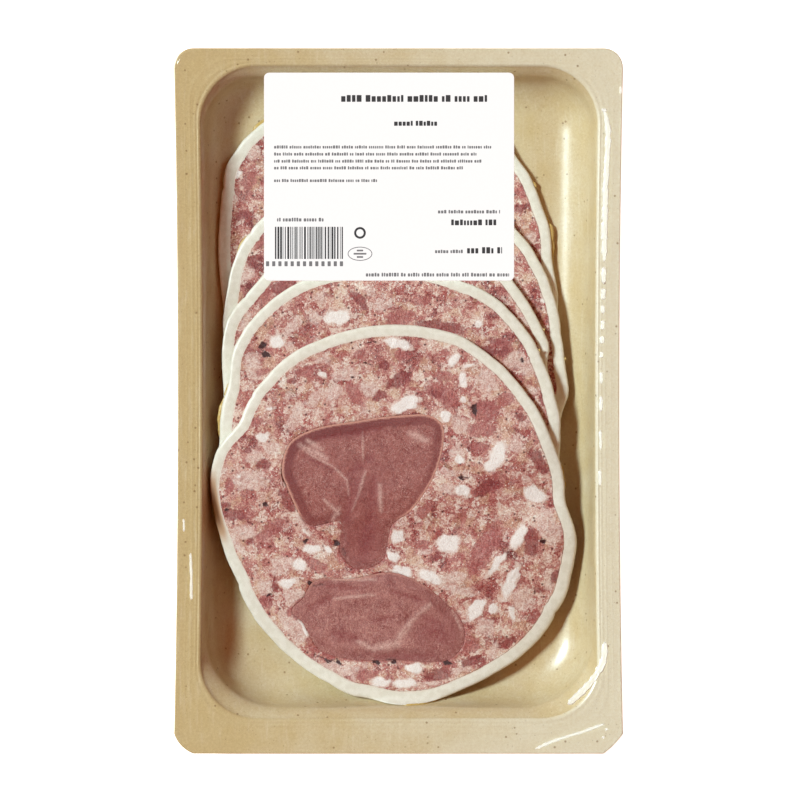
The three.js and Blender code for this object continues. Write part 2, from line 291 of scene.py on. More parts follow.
class MeshSketch:
    """Collects points and faces in millimetres, and makes one mesh object of them."""

    def __init__(self) -> None:
        """Starts with no points."""
        self.parts: list[Array] = []
        self.faces: list[tuple[int, ...]] = []
        self.count = 0

    def add(self, plan: Array, z: Array | float) -> Array:
        """Adds points.

        Args:
            plan: Their places across and along.
            z: Their heights.

        Returns:
            Their numbers.
        """
        height = np.broadcast_to(np.asarray(z, float), (len(plan),))
        self.parts.append(np.column_stack([plan, height]))
        self.count += len(plan)
        return np.arange(self.count - len(plan), self.count)

    def band(self, first: Array, second: Array) -> None:
        """Joins two closed loops of equal length; the second lies inside or above the first."""
        a, b = np.roll(first, -1), np.roll(second, -1)
        self.faces += list(zip(first.tolist(), a.tolist(), b.tolist(), second.tolist()))

    def region(self, numbers: Array, triangles: Array, upwards: bool = True) -> None:
        """Adds the triangles of a filled region.

        Args:
            numbers: The point for each number that the triangles use.
            triangles: Triangles from fill_region.
            upwards: Whether they face up.
        """
        corners = numbers[triangles]
        self.faces += [tuple(f) for f in (corners if upwards else corners[:, ::-1]).tolist()]

    def tube(self, path: Array, widths: Array, heights: Array, sides: int = 10) -> None:
        """Adds a closed body with an oval section along a path.

        Args:
            path: Places and heights along the path.
            widths: Half the width at each.
            heights: Half the height at each.
            sides: Points round the section.
        """
        ahead = np.gradient(path[:, :2], axis=0)
        ahead /= np.linalg.norm(ahead, axis=1)[:, None]
        across = np.column_stack([-ahead[:, 1], ahead[:, 0]])
        turn = np.linspace(0, 2 * math.pi, sides, endpoint=False)
        loops = []
        for at, side, width, height in zip(path, across, widths, heights):
            plan = at[:2] + side * (width * np.cos(turn))[:, None]
            loops.append(self.add(plan, at[2] + height * np.sin(turn)))
        for first, second in zip(loops, loops[1:]):
            self.band(second, first)
        self.faces.append(tuple(loops[0].tolist()))
        self.faces.append(tuple(loops[-1][::-1].tolist()))

    def points(self) -> Array:
        """All points so far."""
        return np.concatenate(self.parts)

    def build(
        self, name: str, finish: Material, marks: dict[str, Array] | None = None,
        smooth: bool = True,
    ) -> bpy.types.Object:
        """Makes the object.

        Args:
            name: Its name.
            finish: Its material.
            marks: Values for each point, one number or four, that the material reads.
            smooth: Whether its faces are shaded as one rounded surface.

        Returns:
            The object, in metres.
        """
        mesh = bpy.data.meshes.new(name)
        mesh.from_pydata((self.points() * MM).tolist(), [], self.faces)
        mesh.polygons.foreach_set("use_smooth", np.full(len(mesh.polygons), smooth))
        for mark, values in (marks or {}).items():
            if values.ndim == 1:
                mesh.attributes.new(mark, "FLOAT", "POINT").data.foreach_set("value", values)
            else:
                layer = mesh.attributes.new(mark, "FLOAT_COLOR", "POINT")
                layer.data.foreach_set("color", values.ravel())
        mesh.materials.append(finish)
        mesh.update()
        made = bpy.data.objects.new(name, mesh)
        bpy.context.scene.collection.objects.link(made)
        return made


def settle(piece: bpy.types.Object, slot: str, *nodes: str) -> None:
    """Puts a finished piece on the body and reports it.

    Args:
        piece: The piece.
        slot: The name of a material slot, which is only logged with it.
        nodes: The CAD nodes that it stands for.
    """
    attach(piece, BODY)
    if nodes:
        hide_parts(*nodes)
    log.info("%s: %d faces, slot %s", piece.name, len(piece.data.polygons), slot)


# Materials


class NodeSketch:
    """Lays out the nodes of one material. Sizes are in millimetres."""

    def __init__(self, name: str, reach: str = "3D") -> None:
        """Starts an empty material.

        Args:
            name: Its name.
            reach: Whether its random values vary in 2D or 3D.
        """
        self.reach = reach
        self.material = bpy.data.materials.new(name)
        self.material.use_nodes = True
        self.tree = self.material.node_tree
        self.tree.nodes.clear()
        self.output = self.tree.nodes.new("ShaderNodeOutputMaterial")

    def node(
        self, kind: str, sockets: dict[str | int, object] | None = None, **settings: object
    ) -> bpy.types.Node:
        """Adds a node.

        Args:
            kind: The node's type.
            sockets: What each input gets: a value, or another node's output to link.
            settings: The node's own settings.

        Returns:
            The node.
        """
        made = self.tree.nodes.new(kind)
        for key, value in settings.items():
            setattr(made, key, value)
        for key, value in (sockets or {}).items():
            if isinstance(value, Socket):
                self.tree.links.new(value, made.inputs[key])
            else:
                made.inputs[key].default_value = value
        return made

    def places(self, scale: tuple[float, float, float] = (1, 1, 1), turn: float = 0.0,
               shift: Place = (0, 0)) -> Socket:
        """Places on the object in millimetres.

        Args:
            scale: Stretch along each axis.
            turn: Turn about the vertical, in degrees.
            shift: Move across and along.

        Returns:
            The places' socket.
        """
        where = self.node("ShaderNodeTexCoord").outputs["Object"]
        mapped = self.node(
            "ShaderNodeMapping",
            {
                "Vector": where,
                "Location": (shift[0], shift[1], 0),
                "Rotation": (0, 0, math.radians(turn)),
                "Scale": tuple(s / MM for s in scale),
            },
        )
        return mapped.outputs["Vector"]

    def noise(
        self, places: Socket, size: float, detail: float = 2.0,
        roughness: float = 0.5, distortion: float = 0.0, output: str = "Fac",
    ) -> Socket:
        """Soft random values, mostly from 0.3 to 0.7.

        Args:
            places: Where they are read.
            size: Size of their largest blots.
            detail: How many finer layers they have.
            roughness: How strong the finer layers are.
            distortion: How far they are swirled.
            output: Fac for one value, Color for three.

        Returns:
            The values' socket.
        """
        made = self.node(
            "ShaderNodeTexNoise",
            {"Vector": places, "Scale": 1 / size, "Detail": detail, "Roughness": roughness,
             "Distortion": distortion},
            noise_dimensions=self.reach,
        )
        return made.outputs[output]

    def cells(
        self, places: Socket, size: float, feature: str = "F1", output: str = "Color"
    ) -> Socket:
        """Random cells, as a value for each cell or as distances."""
        made = self.node(
            "ShaderNodeTexVoronoi", {"Vector": places, "Scale": 1 / size}, feature=feature,
            voronoi_dimensions=self.reach,
        )
        return made.outputs[output]

    def veins(self, value: Socket, width: float) -> Socket:
        """Thin lines where random values pass through their middle."""
        away = self.node("ShaderNodeMath", {0: self.sum(value, -0.5)}, operation="ABSOLUTE")
        return self.ease(away.outputs[0], 0.0, width, 1, 0)

    def grains(
        self, places: Socket, size: float, share: float, radius: float
    ) -> Socket:
        """Scattered round grains.

        Args:
            places: Where they are read.
            size: Distance between them.
            share: How many of them there are, from 0 to 1.
            radius: Their radius, as a share of the distance.

        Returns:
            1 on the grains and 0 between them.
        """
        chosen = self.ease(self.first(self.cells(places, size)), 0.98 - share, 1.02 - share)
        near = self.ease(
            self.cells(places, size, output="Distance"), radius * 0.6, radius * 1.4, 1, 0
        )
        return self.times(chosen, near)

    def first(self, colour: Socket) -> Socket:
        """The first channel of a colour."""
        return self.node("ShaderNodeSeparateColor", {0: colour}).outputs[0]

    def sum(self, a: object, b: object) -> Socket:
        """a plus b."""
        return self.node("ShaderNodeMath", {0: a, 1: b}, operation="ADD").outputs[0]

    def times(self, a: object, b: object) -> Socket:
        """a times b."""
        return self.node("ShaderNodeMath", {0: a, 1: b}, operation="MULTIPLY").outputs[0]

    def ease(
        self, value: Socket, start: float, end: float, low: float = 0.0,
        high: float = 1.0,
    ) -> Socket:
        """Eases from low to high as the value goes from start to end."""
        made = self.node(
            "ShaderNodeMapRange",
            {"Value": value, "From Min": start, "From Max": end, "To Min": low, "To Max": high},
            interpolation_type="SMOOTHSTEP",
        )
        return made.outputs["Result"]

    def mix(self, share: object, first: object, second: object, blend: str = "MIX"
            ) -> Socket:
        """Mixes two colours.

        Args:
            share: How much of the second.
            first: The colour at a share of 0.
            second: The colour at a share of 1.
            blend: How they are mixed.

        Returns:
            The mixed colour's socket.
        """
        made = self.node(
            "ShaderNodeMix", {0: share, 6: first, 7: second}, data_type="RGBA", blend_type=blend
        )
        return made.outputs[2]

    def ramp(
        self, value: Socket, stops: Sequence[tuple[float, Screen]]
    ) -> Socket:
        """Turns a value into a colour.

        Args:
            value: From 0 to 1.
            stops: Position and screen colour of each stop.

        Returns:
            The colour's socket.
        """
        made = self.node("ShaderNodeValToRGB", {0: value})
        elements = made.color_ramp.elements
        while len(elements) < len(stops):
            elements.new(0.5)
        for element, (position, colour) in zip(elements, stops):
            element.position = position
            element.color = srgb(*colour)
        return made.outputs["Color"]

    def relief(
        self, height: Socket, depth: float, strength: float = 1.0
    ) -> Socket:
        """A normal from heights, with the given depth."""
        made = self.node(
            "ShaderNodeBump", {"Height": height, "Distance": depth * MM, "Strength": strength}
        )
        return made.outputs["Normal"]

    def mark(self, name: str) -> bpy.types.Node:
        """The node that reads values stored in the mesh."""
        return self.node("ShaderNodeAttribute", attribute_name=name)

    def channels(self, name: str) -> Sequence[Socket]:
        """The three channels of colours stored in the mesh."""
        return self.node("ShaderNodeSeparateColor", {0: self.mark(name).outputs["Color"]}).outputs

    def surface(
        self, colour: Socket, roughness: float, shine: float, normal: Socket | None = None,
        glow: float = 0.0,
    ) -> Material:
        """Closes the material with a principled surface.

        Args:
            colour: Its colour.
            roughness: How rough it is.
            shine: Its specular level.
            normal: Its relief, if it has any.
            glow: How strongly it glows white.

        Returns:
            The material.
        """
        made = self.node("ShaderNodeBsdfPrincipled", {
            "Base Color": colour, "Roughness": roughness, "Specular IOR Level": shine,
            "Emission Color": (1.0, 1.0, 1.0, 1.0), "Emission Strength": glow,
        } | ({} if normal is None else {"Normal": normal}))
        self.tree.links.new(made.outputs[0], self.output.inputs["Surface"])
        return self.material


@dataclass(frozen=True)
class TrayPlastic:
    """Sand-coloured formed plastic with fine dark specks and a soft gloss.

    Attributes:
        plain: Its colour where no sheen is painted on.
        sheen_colour: A paler, greyer colour, painted on as a sheen of reflected light.
    """

    plain: Screen = (194, 171, 126)
    sheen_colour: Screen = (216, 205, 182)
    speck: Screen = (124, 90, 46)
    roughness: float = 0.3

    def build(self) -> Material:
        """Makes the material.

        Returns:
            The material.
        """
        n = NodeSketch("tray_plastic_finish")
        at = n.places()
        cloud = n.noise(at, 11, 4, 0.6)
        grain = n.noise(at, 0.8, 3, 0.7)
        # Painted sheen: a mark stored in the mesh makes the plastic paler and greyer towards the
        # flange's right side, standing in for reflected light; the cloud only adds random tone.
        tone = n.sum(n.mark("seal_haze").outputs["Fac"], n.times(n.sum(cloud, -0.5), 0.7))
        base = n.mix(n.ease(tone, 0.0, 1.0), srgb(*self.plain), srgb(*self.sheen_colour))
        shade = n.ramp(grain, ((0.3, (176, 173, 168)), (0.7, (199, 199, 199))))
        base = n.mix(0.7, base, shade, "OVERLAY")
        streak = n.noise(n.places((1.0, 0.12, 1.0)), 1.6, 3, 0.6)
        base = n.mix(n.ease(streak, 0.5, 0.75, 0, 0.2), base, srgb(230, 219, 196))
        base = n.mix(n.times(n.grains(at, 3.4, 0.5, 0.11), 0.7), base, srgb(*self.speck))
        base = n.mix(n.times(n.grains(at, 1.5, 0.4, 0.12), 0.4), base, srgb(*self.speck))
        ripple = n.noise(n.places((0.2, 1.0, 1.0)), 0.55, 2, 0.5)
        height = n.sum(n.times(ripple, 0.8), n.times(n.noise(at, 5, 2), 2.0))
        return n.surface(base, self.roughness, 0.75, n.relief(height, 0.05, 0.4))


@dataclass(frozen=True)
class RouladeMeat:
    """Pressed head meat: a mosaic of lean, fat and jelly inside a cream rind.

    Attributes:
        name: Name of the material.
        shift: Moves the mosaic, so that each slice has its own.
        tone: How pale the mosaic is on the whole, from -1 to 1.
        mosaic: Its colours, from dark lean to white fat.
    """

    name: str
    shift: Place
    tone: float = 0.0
    mosaic: tuple[tuple[float, Screen], ...] = (
        (0.0, (96, 26, 30)),
        (0.16, (140, 58, 56)),
        (0.36, (172, 98, 91)),
        (0.55, (192, 134, 122)),
        (0.74, (209, 168, 152)),
        (0.9, (224, 200, 185)),
        (1.0, (238, 226, 214)),
    )

    def mosaic_colour(self, n: NodeSketch, at: Socket) -> Socket:
        """The colour of the meat between its larger pieces.

        Args:
            n: The material in progress.
            at: Places on the slice.

        Returns:
            The colour's socket.
        """
        push = n.node(
            "ShaderNodeVectorMath",
            {0: n.noise(at, 2.4, 4, 0.65, output="Color"), 1: (0.5, 0.5, 0.5)},
            operation="SUBTRACT",
        ).outputs[0]
        bent = n.node(
            "ShaderNodeVectorMath", {0: push, 1: (9.0, 9.0, 9.0), 2: at}, operation="MULTIPLY_ADD"
        ).outputs[0]
        total = n.times(n.first(n.cells(bent, 3.0)), 0.16)
        total = n.sum(total, n.times(n.noise(at, 11, 2), 0.5))
        total = n.sum(total, n.times(n.noise(bent, 4.2, 5, 0.62), 0.95))
        total = n.sum(total, n.times(n.noise(at, 1.0, 4, 0.72, 0.7), 0.55))
        middle = 1.08 - 0.12 * self.tone
        colour = n.ramp(n.ease(total, middle - 0.36, middle + 0.36), self.mosaic)
        straw = n.ease(n.noise(at, 6.5, 3, 0.6), 0.52, 0.64)
        colour = n.mix(n.times(straw, 0.38), colour, srgb(208, 174, 138))
        red_bits = n.grains(bent, 3.7, 0.4, 0.33)
        colour = n.mix(n.times(red_bits, 0.7), colour, srgb(161, 70, 66))
        pale_bits = n.grains(bent, 2.7, 0.36, 0.36)
        colour = n.mix(n.times(pale_bits, 0.75), colour, srgb(229, 208, 195))
        lines = n.noise(bent, 3.4, 4, 0.68)
        colour = n.mix(n.times(n.veins(lines, 0.018), 0.6), colour, srgb(236, 220, 208))
        seams = n.ease(n.cells(bent, 2.9, "DISTANCE_TO_EDGE", "Distance"), 0.0, 0.05, 1, 0)
        seams = n.times(seams, n.ease(lines, 0.42, 0.58))
        colour = n.mix(n.times(seams, 0.7), colour, srgb(112, 34, 34))
        colour = n.mix(n.times(n.grains(at, 1.3, 0.2, 0.14), 0.8), colour, srgb(243, 234, 226))
        return n.mix(n.times(n.grains(at, 3.1, 0.3, 0.12), 0.85), colour, srgb(78, 20, 24))

    def build(self) -> Material:
        """Makes the material.

        Returns:
            The material.
        """
        n = NodeSketch(self.name, "2D")
        at = n.places(shift=self.shift)
        base = self.mosaic_colour(n, at)
        torn = n.noise(at, 1.5, 5, 0.66, 0.5)
        ragged = n.times(n.sum(torn, -0.5), 1.7)
        wavy = n.times(n.sum(n.noise(at, 2.3, 2), -0.5), 1.5)
        fibre = n.noise(n.places((1.0, 0.28, 1.0), 35, self.shift), 0.7, 5, 0.7, 0.8)
        fat, lean = n.channels("fat_marks"), n.channels("lean_marks")

        def patch(
            mark: Socket, width: float = 0.2, edge: Socket = ragged
        ) -> Socket:
            """Gives a mark a ragged or wavy edge that is soft over the given width."""
            return n.ease(n.sum(mark, edge), 0.5 - width, 0.5 + width)

        pale = n.mix(n.ease(torn, 0.35, 0.65), srgb(203, 164, 152), srgb(228, 208, 198))
        base = n.mix(n.times(patch(fat[1], 0.36, wavy), 0.78), base, pale)
        red = n.mix(n.ease(fibre, 0.35, 0.65), srgb(144, 66, 66), srgb(180, 107, 101))
        base = n.mix(n.times(patch(lean[0], 0.28), 0.78), base, red)
        deep = n.mix(n.ease(fibre, 0.35, 0.65), srgb(116, 38, 42), srgb(152, 72, 70))
        base = n.mix(n.times(patch(lean[1], 0.28), 0.82), base, deep)
        white = n.mix(n.ease(fat[0], 0.45, 1.0), srgb(218, 192, 180), srgb(240, 231, 225))
        base = n.mix(n.times(patch(fat[0], 0.26, wavy), 0.95), base, white)
        base = n.mix(patch(lean[2], 0.2), base, srgb(58, 24, 27))
        micro = n.noise(at, 0.5, 4, 0.75)
        grain = n.ramp(micro, ((0.36, (134, 122, 121)), (0.64, (226, 226, 226))))
        base = n.mix(0.6, base, grain, "OVERLAY")
        depth = n.mark("rind_depth").outputs["Fac"]
        cloud = n.ease(n.noise(at, 2.4, 3), 0.35, 0.65)
        cream = n.mix(cloud, srgb(220, 213, 198), srgb(228, 222, 209))
        cream = n.mix(n.ease(depth, 0.0, 0.9, 0.45, 0), cream, srgb(222, 200, 184))
        # Painted shade: where the mark is set, the rind darkens through tan to deep brown towards
        # its outer edge.
        shade = n.mark("rind_shade").outputs["Fac"]
        cream = n.mix(n.ease(shade, 0.0, 0.5), cream, srgb(184, 148, 118))
        cream = n.mix(n.ease(shade, 0.35, 1.0), cream, srgb(92, 50, 10))
        edge = n.ease(n.sum(depth, n.times(n.sum(torn, -0.5), 0.7)), -0.12, 0.2)
        base = n.mix(edge, base, cream)
        height = n.sum(n.times(micro, 0.5), n.times(torn, 0.9))
        height = n.times(height, n.ease(edge, 0, 1, 1, 0.1))
        return n.surface(base, 0.34, 0.4, n.relief(height, 0.36, 0.9))


@dataclass(frozen=True)
class TongueMeat:
    """Dark pink muscle with a thin pale skin.

    Attributes:
        name: Name of the material.
        fibre: Stretch of the muscle's grain.
        turn: Direction of the grain, in degrees.
        swirl: How far the grain is swirled.
        dark: Darkest colour of the grain.
        light: Lightest colour of the grain.
        whorl: How strongly rings of muscle show round its middle.
    """

    name: str
    fibre: float = 0.8
    turn: float = 0.0
    swirl: float = 0.4
    dark: Screen = (126, 58, 56)
    light: Screen = (166, 100, 92)
    whorl: float = 0.0

    def build(self) -> Material:
        """Makes the material.

        Returns:
            The material.
        """
        n = NodeSketch(self.name, "2D")
        at = n.places()
        grain = n.noise(n.places((1.0, self.fibre, 1.0), self.turn), 0.8, 6, 0.78, self.swirl)
        both = n.sum(n.times(grain, 0.85), n.times(n.noise(at, 4.5, 4, 0.6), 0.4))
        if self.whorl:
            lines = n.node(
                "ShaderNodeTexWave",
                {"Vector": n.places(shift=(3.4, 73.5)), "Scale": 0.17, "Distortion": 16.0,
                 "Detail": 4.0, "Detail Scale": 1.6, "Detail Roughness": 0.75},
                wave_type="RINGS", rings_direction="Z",
            )
            both = n.sum(both, n.times(n.sum(lines.outputs["Fac"], -0.5), self.whorl))
        base = n.mix(n.ease(both, 0.42, 0.8), srgb(*self.dark), srgb(*self.light))
        rims = n.channels("rim_marks")
        flecks = n.ease(n.noise(at, 0.75, 4, 0.75, 1.2), 0.5, 0.64)
        base = n.mix(n.times(n.times(flecks, rims[2]), 0.7), base, srgb(218, 172, 158))
        base = n.mix(rims[1], base, srgb(118, 48, 47))
        marks = n.channels("stroke_marks")
        torn = n.noise(at, 1.0, 5, 0.75, 0.6)

        def streak(mark: Socket) -> Socket:
            """A mark that is soft at its edge and torn all over."""
            return n.times(mark, n.ease(torn, 0.34, 0.6, 0.25, 1.0))

        base = n.mix(n.times(streak(marks[0]), 0.75), base, srgb(220, 182, 170))
        base = n.mix(n.times(streak(marks[1]), 0.75), base, srgb(132, 58, 60))
        base = n.mix(streak(marks[2]), base, srgb(66, 28, 30))
        base = n.mix(n.times(rims[0], 0.85), base, srgb(209, 152, 134))
        micro = n.noise(at, 0.45, 4, 0.75)
        shade = n.ramp(micro, ((0.34, (146, 138, 137)), (0.66, (220, 220, 220))))
        base = n.mix(0.55, base, shade, "OVERLAY")
        height = n.sum(n.times(micro, 0.5), n.times(grain, 0.8))
        return n.surface(base, 0.42, 0.4, n.relief(height, 0.28, 0.8))


@dataclass(frozen=True)
class ClearFilm:
    """Clear film: what lies below shows, with a thin reflection over it.

    Attributes:
        name: Name of the material.
        roughness: How blurred the reflection is.
        shine: How strong the reflection is.
        milk_and_glint: How much diffuse white is mixed in where the film is folded and welded: a
            milky weld that also paints the beads' bright glint lines.
    """

    name: str = "clear_film_finish"
    roughness: float = 0.12
    shine: float = 0.5
    milk_and_glint: float = 0.0

    def build(self) -> Material:
        """Makes the material.

        Returns:
            The material.
        """
        n = NodeSketch(self.name, "2D")
        at = n.places()
        height = n.sum(n.noise(at, 14, 2), n.times(n.noise(at, 2.2, 2), 0.06))
        bend = n.relief(height, 0.1, 0.5)
        clear = n.node("ShaderNodeBsdfTransparent", {"Color": (0.985, 0.985, 0.98, 1)})
        gloss = n.node(
            "ShaderNodeBsdfGlossy",
            {"Color": (1, 1, 1, 1), "Roughness": self.roughness, "Normal": bend},
        )
        fresnel = n.node("ShaderNodeFresnel", {"IOR": 1.45, "Normal": bend})
        both = n.node(
            "ShaderNodeMixShader",
            {0: n.times(fresnel.outputs[0], self.shine), 1: clear.outputs[0], 2: gloss.outputs[0]},
        )
        # Diffuse white, partly a milky weld and partly a painted highlight along the beads.
        if self.milk_and_glint:
            white = n.node("ShaderNodeBsdfDiffuse", {"Color": srgb(250, 247, 240)})
            both = n.node(
                "ShaderNodeMixShader", {0: self.milk_and_glint, 1: both.outputs[0], 2: white.outputs[0]}
            )
        n.tree.links.new(both.outputs[0], n.output.inputs["Surface"])
        return n.material


@dataclass(frozen=True)
class CoatedPaper:
    """Smooth white label paper with a faint fibre."""

    colour: Screen = (253, 253, 253)

    def build(self) -> Material:
        """Makes the material.

        Returns:
            The material.
        """
        n = NodeSketch("label_paper_finish")
        at = n.places()
        cloud = n.ease(n.noise(at, 0.8, 3), 0.3, 0.7, 0, 0.25)
        white = n.mix(cloud, srgb(*self.colour), srgb(249, 249, 248))
        return n.surface(white, 0.55, 0.3, n.relief(n.noise(at, 0.5, 2), 0.01, 0.4))


@dataclass(frozen=True)
class PrintInk:
    """Dark print on the label."""

    name: str
    colour: Screen

    def build(self) -> Material:
        """Makes the material.

        Returns:
            The material.
        """
        n = NodeSketch(self.name)
        at = n.places()
        wear = n.ease(n.noise(at, 0.35, 2), 0.35, 0.7, 0, 0.3)
        lighter = tuple(min(255, c + 34) for c in self.colour)
        return n.surface(n.mix(wear, srgb(*self.colour), srgb(*lighter)), 0.5, 0.3)


@dataclass(frozen=True)
class MeatJelly:
    """Clear golden jelly that has set beside the slices."""

    def build(self) -> Material:
        """Makes the material.

        Returns:
            The material.
        """
        n = NodeSketch("meat_jelly_finish")
        at = n.places()
        colour = n.mix(n.noise(at, 1.2, 3), srgb(176, 138, 66), srgb(208, 182, 122))
        return n.surface(colour, 0.25, 0.5, n.relief(n.noise(at, 0.8, 2), 0.2, 0.5))


@dataclass(frozen=True)
class StudioFloor:
    """A plain white sweep that is lit evenly."""

    glow: float = 0.96

    def build(self) -> Material:
        """Makes the material.

        Returns:
            The material.
        """
        n = NodeSketch("studio_floor_finish")
        at = n.places()
        white = n.mix(n.noise(at, 60, 2), srgb(252, 252, 252), srgb(254, 254, 254))
        return n.surface(white, 0.9, 0.0, glow=self.glow)


# The tray


@dataclass(frozen=True)
class Rim:
    """A ring of the tray: a rounded rectangle in plan.

    Attributes:
        centre: Its middle.
        half: Half its width and length.
        top_corner: Corner radius at the label's end.
        bottom_corner: Corner radius at the other end.
        cuts: How far the left and right corners at that end are cut straight, from 0 to 1.
        waisted: Whether its long sides are drawn in as the pack's are.
    """

    centre: Place
    half: Place
    top_corner: float
    bottom_corner: float
    cuts: Place = (0.0, 0.0)
    waisted: bool = True
    corner_steps: int = 26
    long_steps: int = 90
    short_steps: int = 56

    def outline(self, inset: float = 0.0) -> Array:
        """The ring's points, counter-clockwise.

        Args:
            inset: How far it is moved inwards.

        Returns:
            Its points in plan.
        """
        t = np.linspace(0, 1, self.corner_steps + 1)[:, None]
        arcs = []
        corners = (((1, 1), 0.0), ((-1, 1), 0.0), ((-1, -1), self.cuts[0]), ((1, -1), self.cuts[1]))
        for corner, (signs, cut) in enumerate(corners):
            radius = (self.top_corner if signs[1] > 0 else self.bottom_corner) - inset
            reach = np.array(self.half) - inset - radius
            middle = np.array(self.centre) + np.array(signs) * reach
            angle = (corner + t) * math.pi / 2
            arc = middle + radius * np.hstack([np.cos(angle), np.sin(angle)])
            straight = arc[0] + (arc[-1] - arc[0]) * t
            arcs.append(arc + (straight - arc) * cut)
        points = []
        for i, arc in enumerate(arcs):
            steps = self.long_steps if i % 2 else self.short_steps
            share = (np.arange(1, steps) / steps)[:, None]
            points += [arc, arc[-1] + (arcs[(i + 1) % 4][0] - arc[-1]) * share]
        plan = np.concatenate(points)
        if self.waisted:
            plan[:, 0] *= waist_scale(plan[:, 1])
        return plan

    def depth(self, x: Array, y: Array) -> Array:
        """How far inside the ring places lie.

        Args:
            x: Places across.
            y: Places along.

        Returns:
            One depth for each place, negative outside.
        """
        dx, dy = x / waist_scale(y) - self.centre[0], y - self.centre[1]
        corner = np.where(dy > 0, self.top_corner, self.bottom_corner)
        u, v = np.abs(dx) - self.half[0] + corner, np.abs(dy) - self.half[1] + corner
        outside = np.hypot(np.maximum(u, 0), np.maximum(v, 0))
        return corner - outside - np.minimum(np.maximum(u, v), 0)


@dataclass(frozen=True)
class Tray:
    """The formed tray: a flange, a sloping shoulder, a short wall, a wide fillet and a floor.

    Attributes:
        shoulder: Share of the way from the wall to the lip, and height, of the shoulder's rings.
        lip_roll: How far inside the lip, and height, of the rings that lead onto the flange.
        edge_roll: How far inside the flange's edge, and drop, of the rings round it.
        seal_lines: Share of the way across the flange, height, spread and wander of each line
            that the sealing left.
        floor_shares: Share of the way from the floor's middle to its edge of each ring there.
    """

    sheet: float = 0.8
    fillet_radius: float = 13.5
    fillet_turn: float = 78.0
    wall_draft: float = 0.2
    fillet_steps: int = 26
    flange_steps: int = 30
    flange: Rim = Rim((0, 0), (TRAY_WIDTH / 2, TRAY_LENGTH / 2), 6.8, 6.8, (0.45, 0.8))
    lip: Rim = Rim((0.2, 2.9), (67.8, 110.7), 19.5, 19.5)
    wall: Rim = Rim((0.3, 3.1), (66.7, 107.5), 18, 25)
    shoulder: tuple[Place, ...] = (
        (0.0, 13.2), (0.1, 13.9), (0.3, 14.8), (0.55, 15.7), (0.8, 16.4), (1.0, 16.95),
    )
    lip_roll: tuple[Place, ...] = ((-0.25, 17.35), (-0.6, 17.62))
    edge_roll: tuple[Place, ...] = ((0.1, 0.1), (0.0, 0.3), (0.0, 0.6))
    seal_lines: tuple[Four, ...] = (
        (0.36, 0.05, 0.03, 0.02), (0.22, -0.04, 0.03, 0.0), (0.62, 0.04, 0.02, -0.015),
        (0.06, -0.12, 0.03, 0.0),
    )
    floor_shares: tuple[float, ...] = (0.03, 0.25, 0.5, 0.72, 0.88, 0.96)

    def fillet(self, inset: float) -> list[tuple[Array, Array]]:
        """The fillet's rings, from the floor up.

        Args:
            inset: How far the surface is moved into the hollow.

        Returns:
            Plan and height of each ring.
        """
        rings = []
        for step in range(self.fillet_steps + 1):
            angle = math.radians(step / self.fillet_steps * self.fillet_turn)
            depth = self.wall_draft + self.fillet_radius * (1 - math.sin(angle))
            plan = self.wall.outline(depth + inset * math.sin(angle))
            z = self.sheet + self.fillet_radius * (1 - math.cos(angle)) + inset * math.cos(angle)
            rings.append((plan, np.full(len(plan), z)))
        return rings

    def inside_height(self, x: Array, y: Array) -> Array:
        """Height of the tray's inside over its floor and fillet.

        Args:
            x: Places across.
            y: Places along.

        Returns:
            One height for each place.
        """
        reach = self.wall_draft + self.fillet_radius - self.wall.depth(x, y)
        share = np.clip(reach / self.fillet_radius, 0, math.sin(math.radians(self.fillet_turn)))
        return self.sheet + self.fillet_radius * (1 - np.sqrt(1 - share**2))

    def flange_relief(self, share: float, plan: Array) -> Array:
        """Fine seal lines and unevenness of the flange, in millimetres.

        Args:
            share: How far from the lip to the flange's edge.
            plan: Places on the ring.

        Returns:
            A height for each place.
        """
        x, y = plan.T
        wave = Unevenness(11, 9).at(x, y)
        lines = sum(
            height * hill(share + wander * wave, at, spread)
            for at, height, spread, wander in self.seal_lines
        )
        fade = smoothstep(np.minimum(share, 1 - share) / 0.06)
        return (lines + 0.05 * wave + 0.03 * Unevenness(12, 3).at(x, y)) * fade

    def rings(self) -> list[tuple[Array, Array]]:
        """The rings from the fillet's foot over the flange and back under it.

        Returns:
            Plan and height of each ring.
        """

        def level(plan: Array, z: float) -> tuple[Array, Array]:
            """A ring at one height."""
            return plan, np.full(len(plan), z)

        inner, outer = self.wall.outline(0.0), self.lip.outline(0.0)
        upper = self.fillet(0.0)
        upper += [level(inner + (outer - inner) * share, z) for share, z in self.shoulder]
        upper += [level(self.lip.outline(inset), z) for inset, z in self.lip_roll]
        start, end = self.lip.outline(-1.1), self.flange.outline(0.35)
        for step in range(self.flange_steps + 1):
            share = step / self.flange_steps
            plan = start + (end - start) * share
            upper.append((plan, TRAY_HEIGHT - 0.02 + self.flange_relief(share, plan)))
        upper += [level(self.flange.outline(inset), TRAY_HEIGHT - drop)
                  for inset, drop in self.edge_roll]
        lower = self.fillet(-self.sheet)
        lower += [level(self.wall.outline(-0.7), 12.6), level(self.lip.outline(-0.6), 16.4),
                  level(self.lip.outline(-1.5), TRAY_HEIGHT - self.sheet),
                  level(self.flange.outline(0.3), TRAY_HEIGHT - self.sheet)]
        return upper + lower[::-1]

    def floor_rings(self, inset: float) -> list[tuple[Array, Array]]:
        """Rings that close the floor, from near its middle out to its edge.

        Args:
            inset: How far the surface is moved up into the hollow.

        Returns:
            Plan and height of each ring.
        """
        middle = np.array(self.wall.centre)
        edge = self.wall.outline(self.wall_draft + self.fillet_radius)
        plans = [middle + (edge - middle) * share for share in self.floor_shares]
        return [(plan, np.full(len(plan), self.sheet + inset)) for plan in plans]

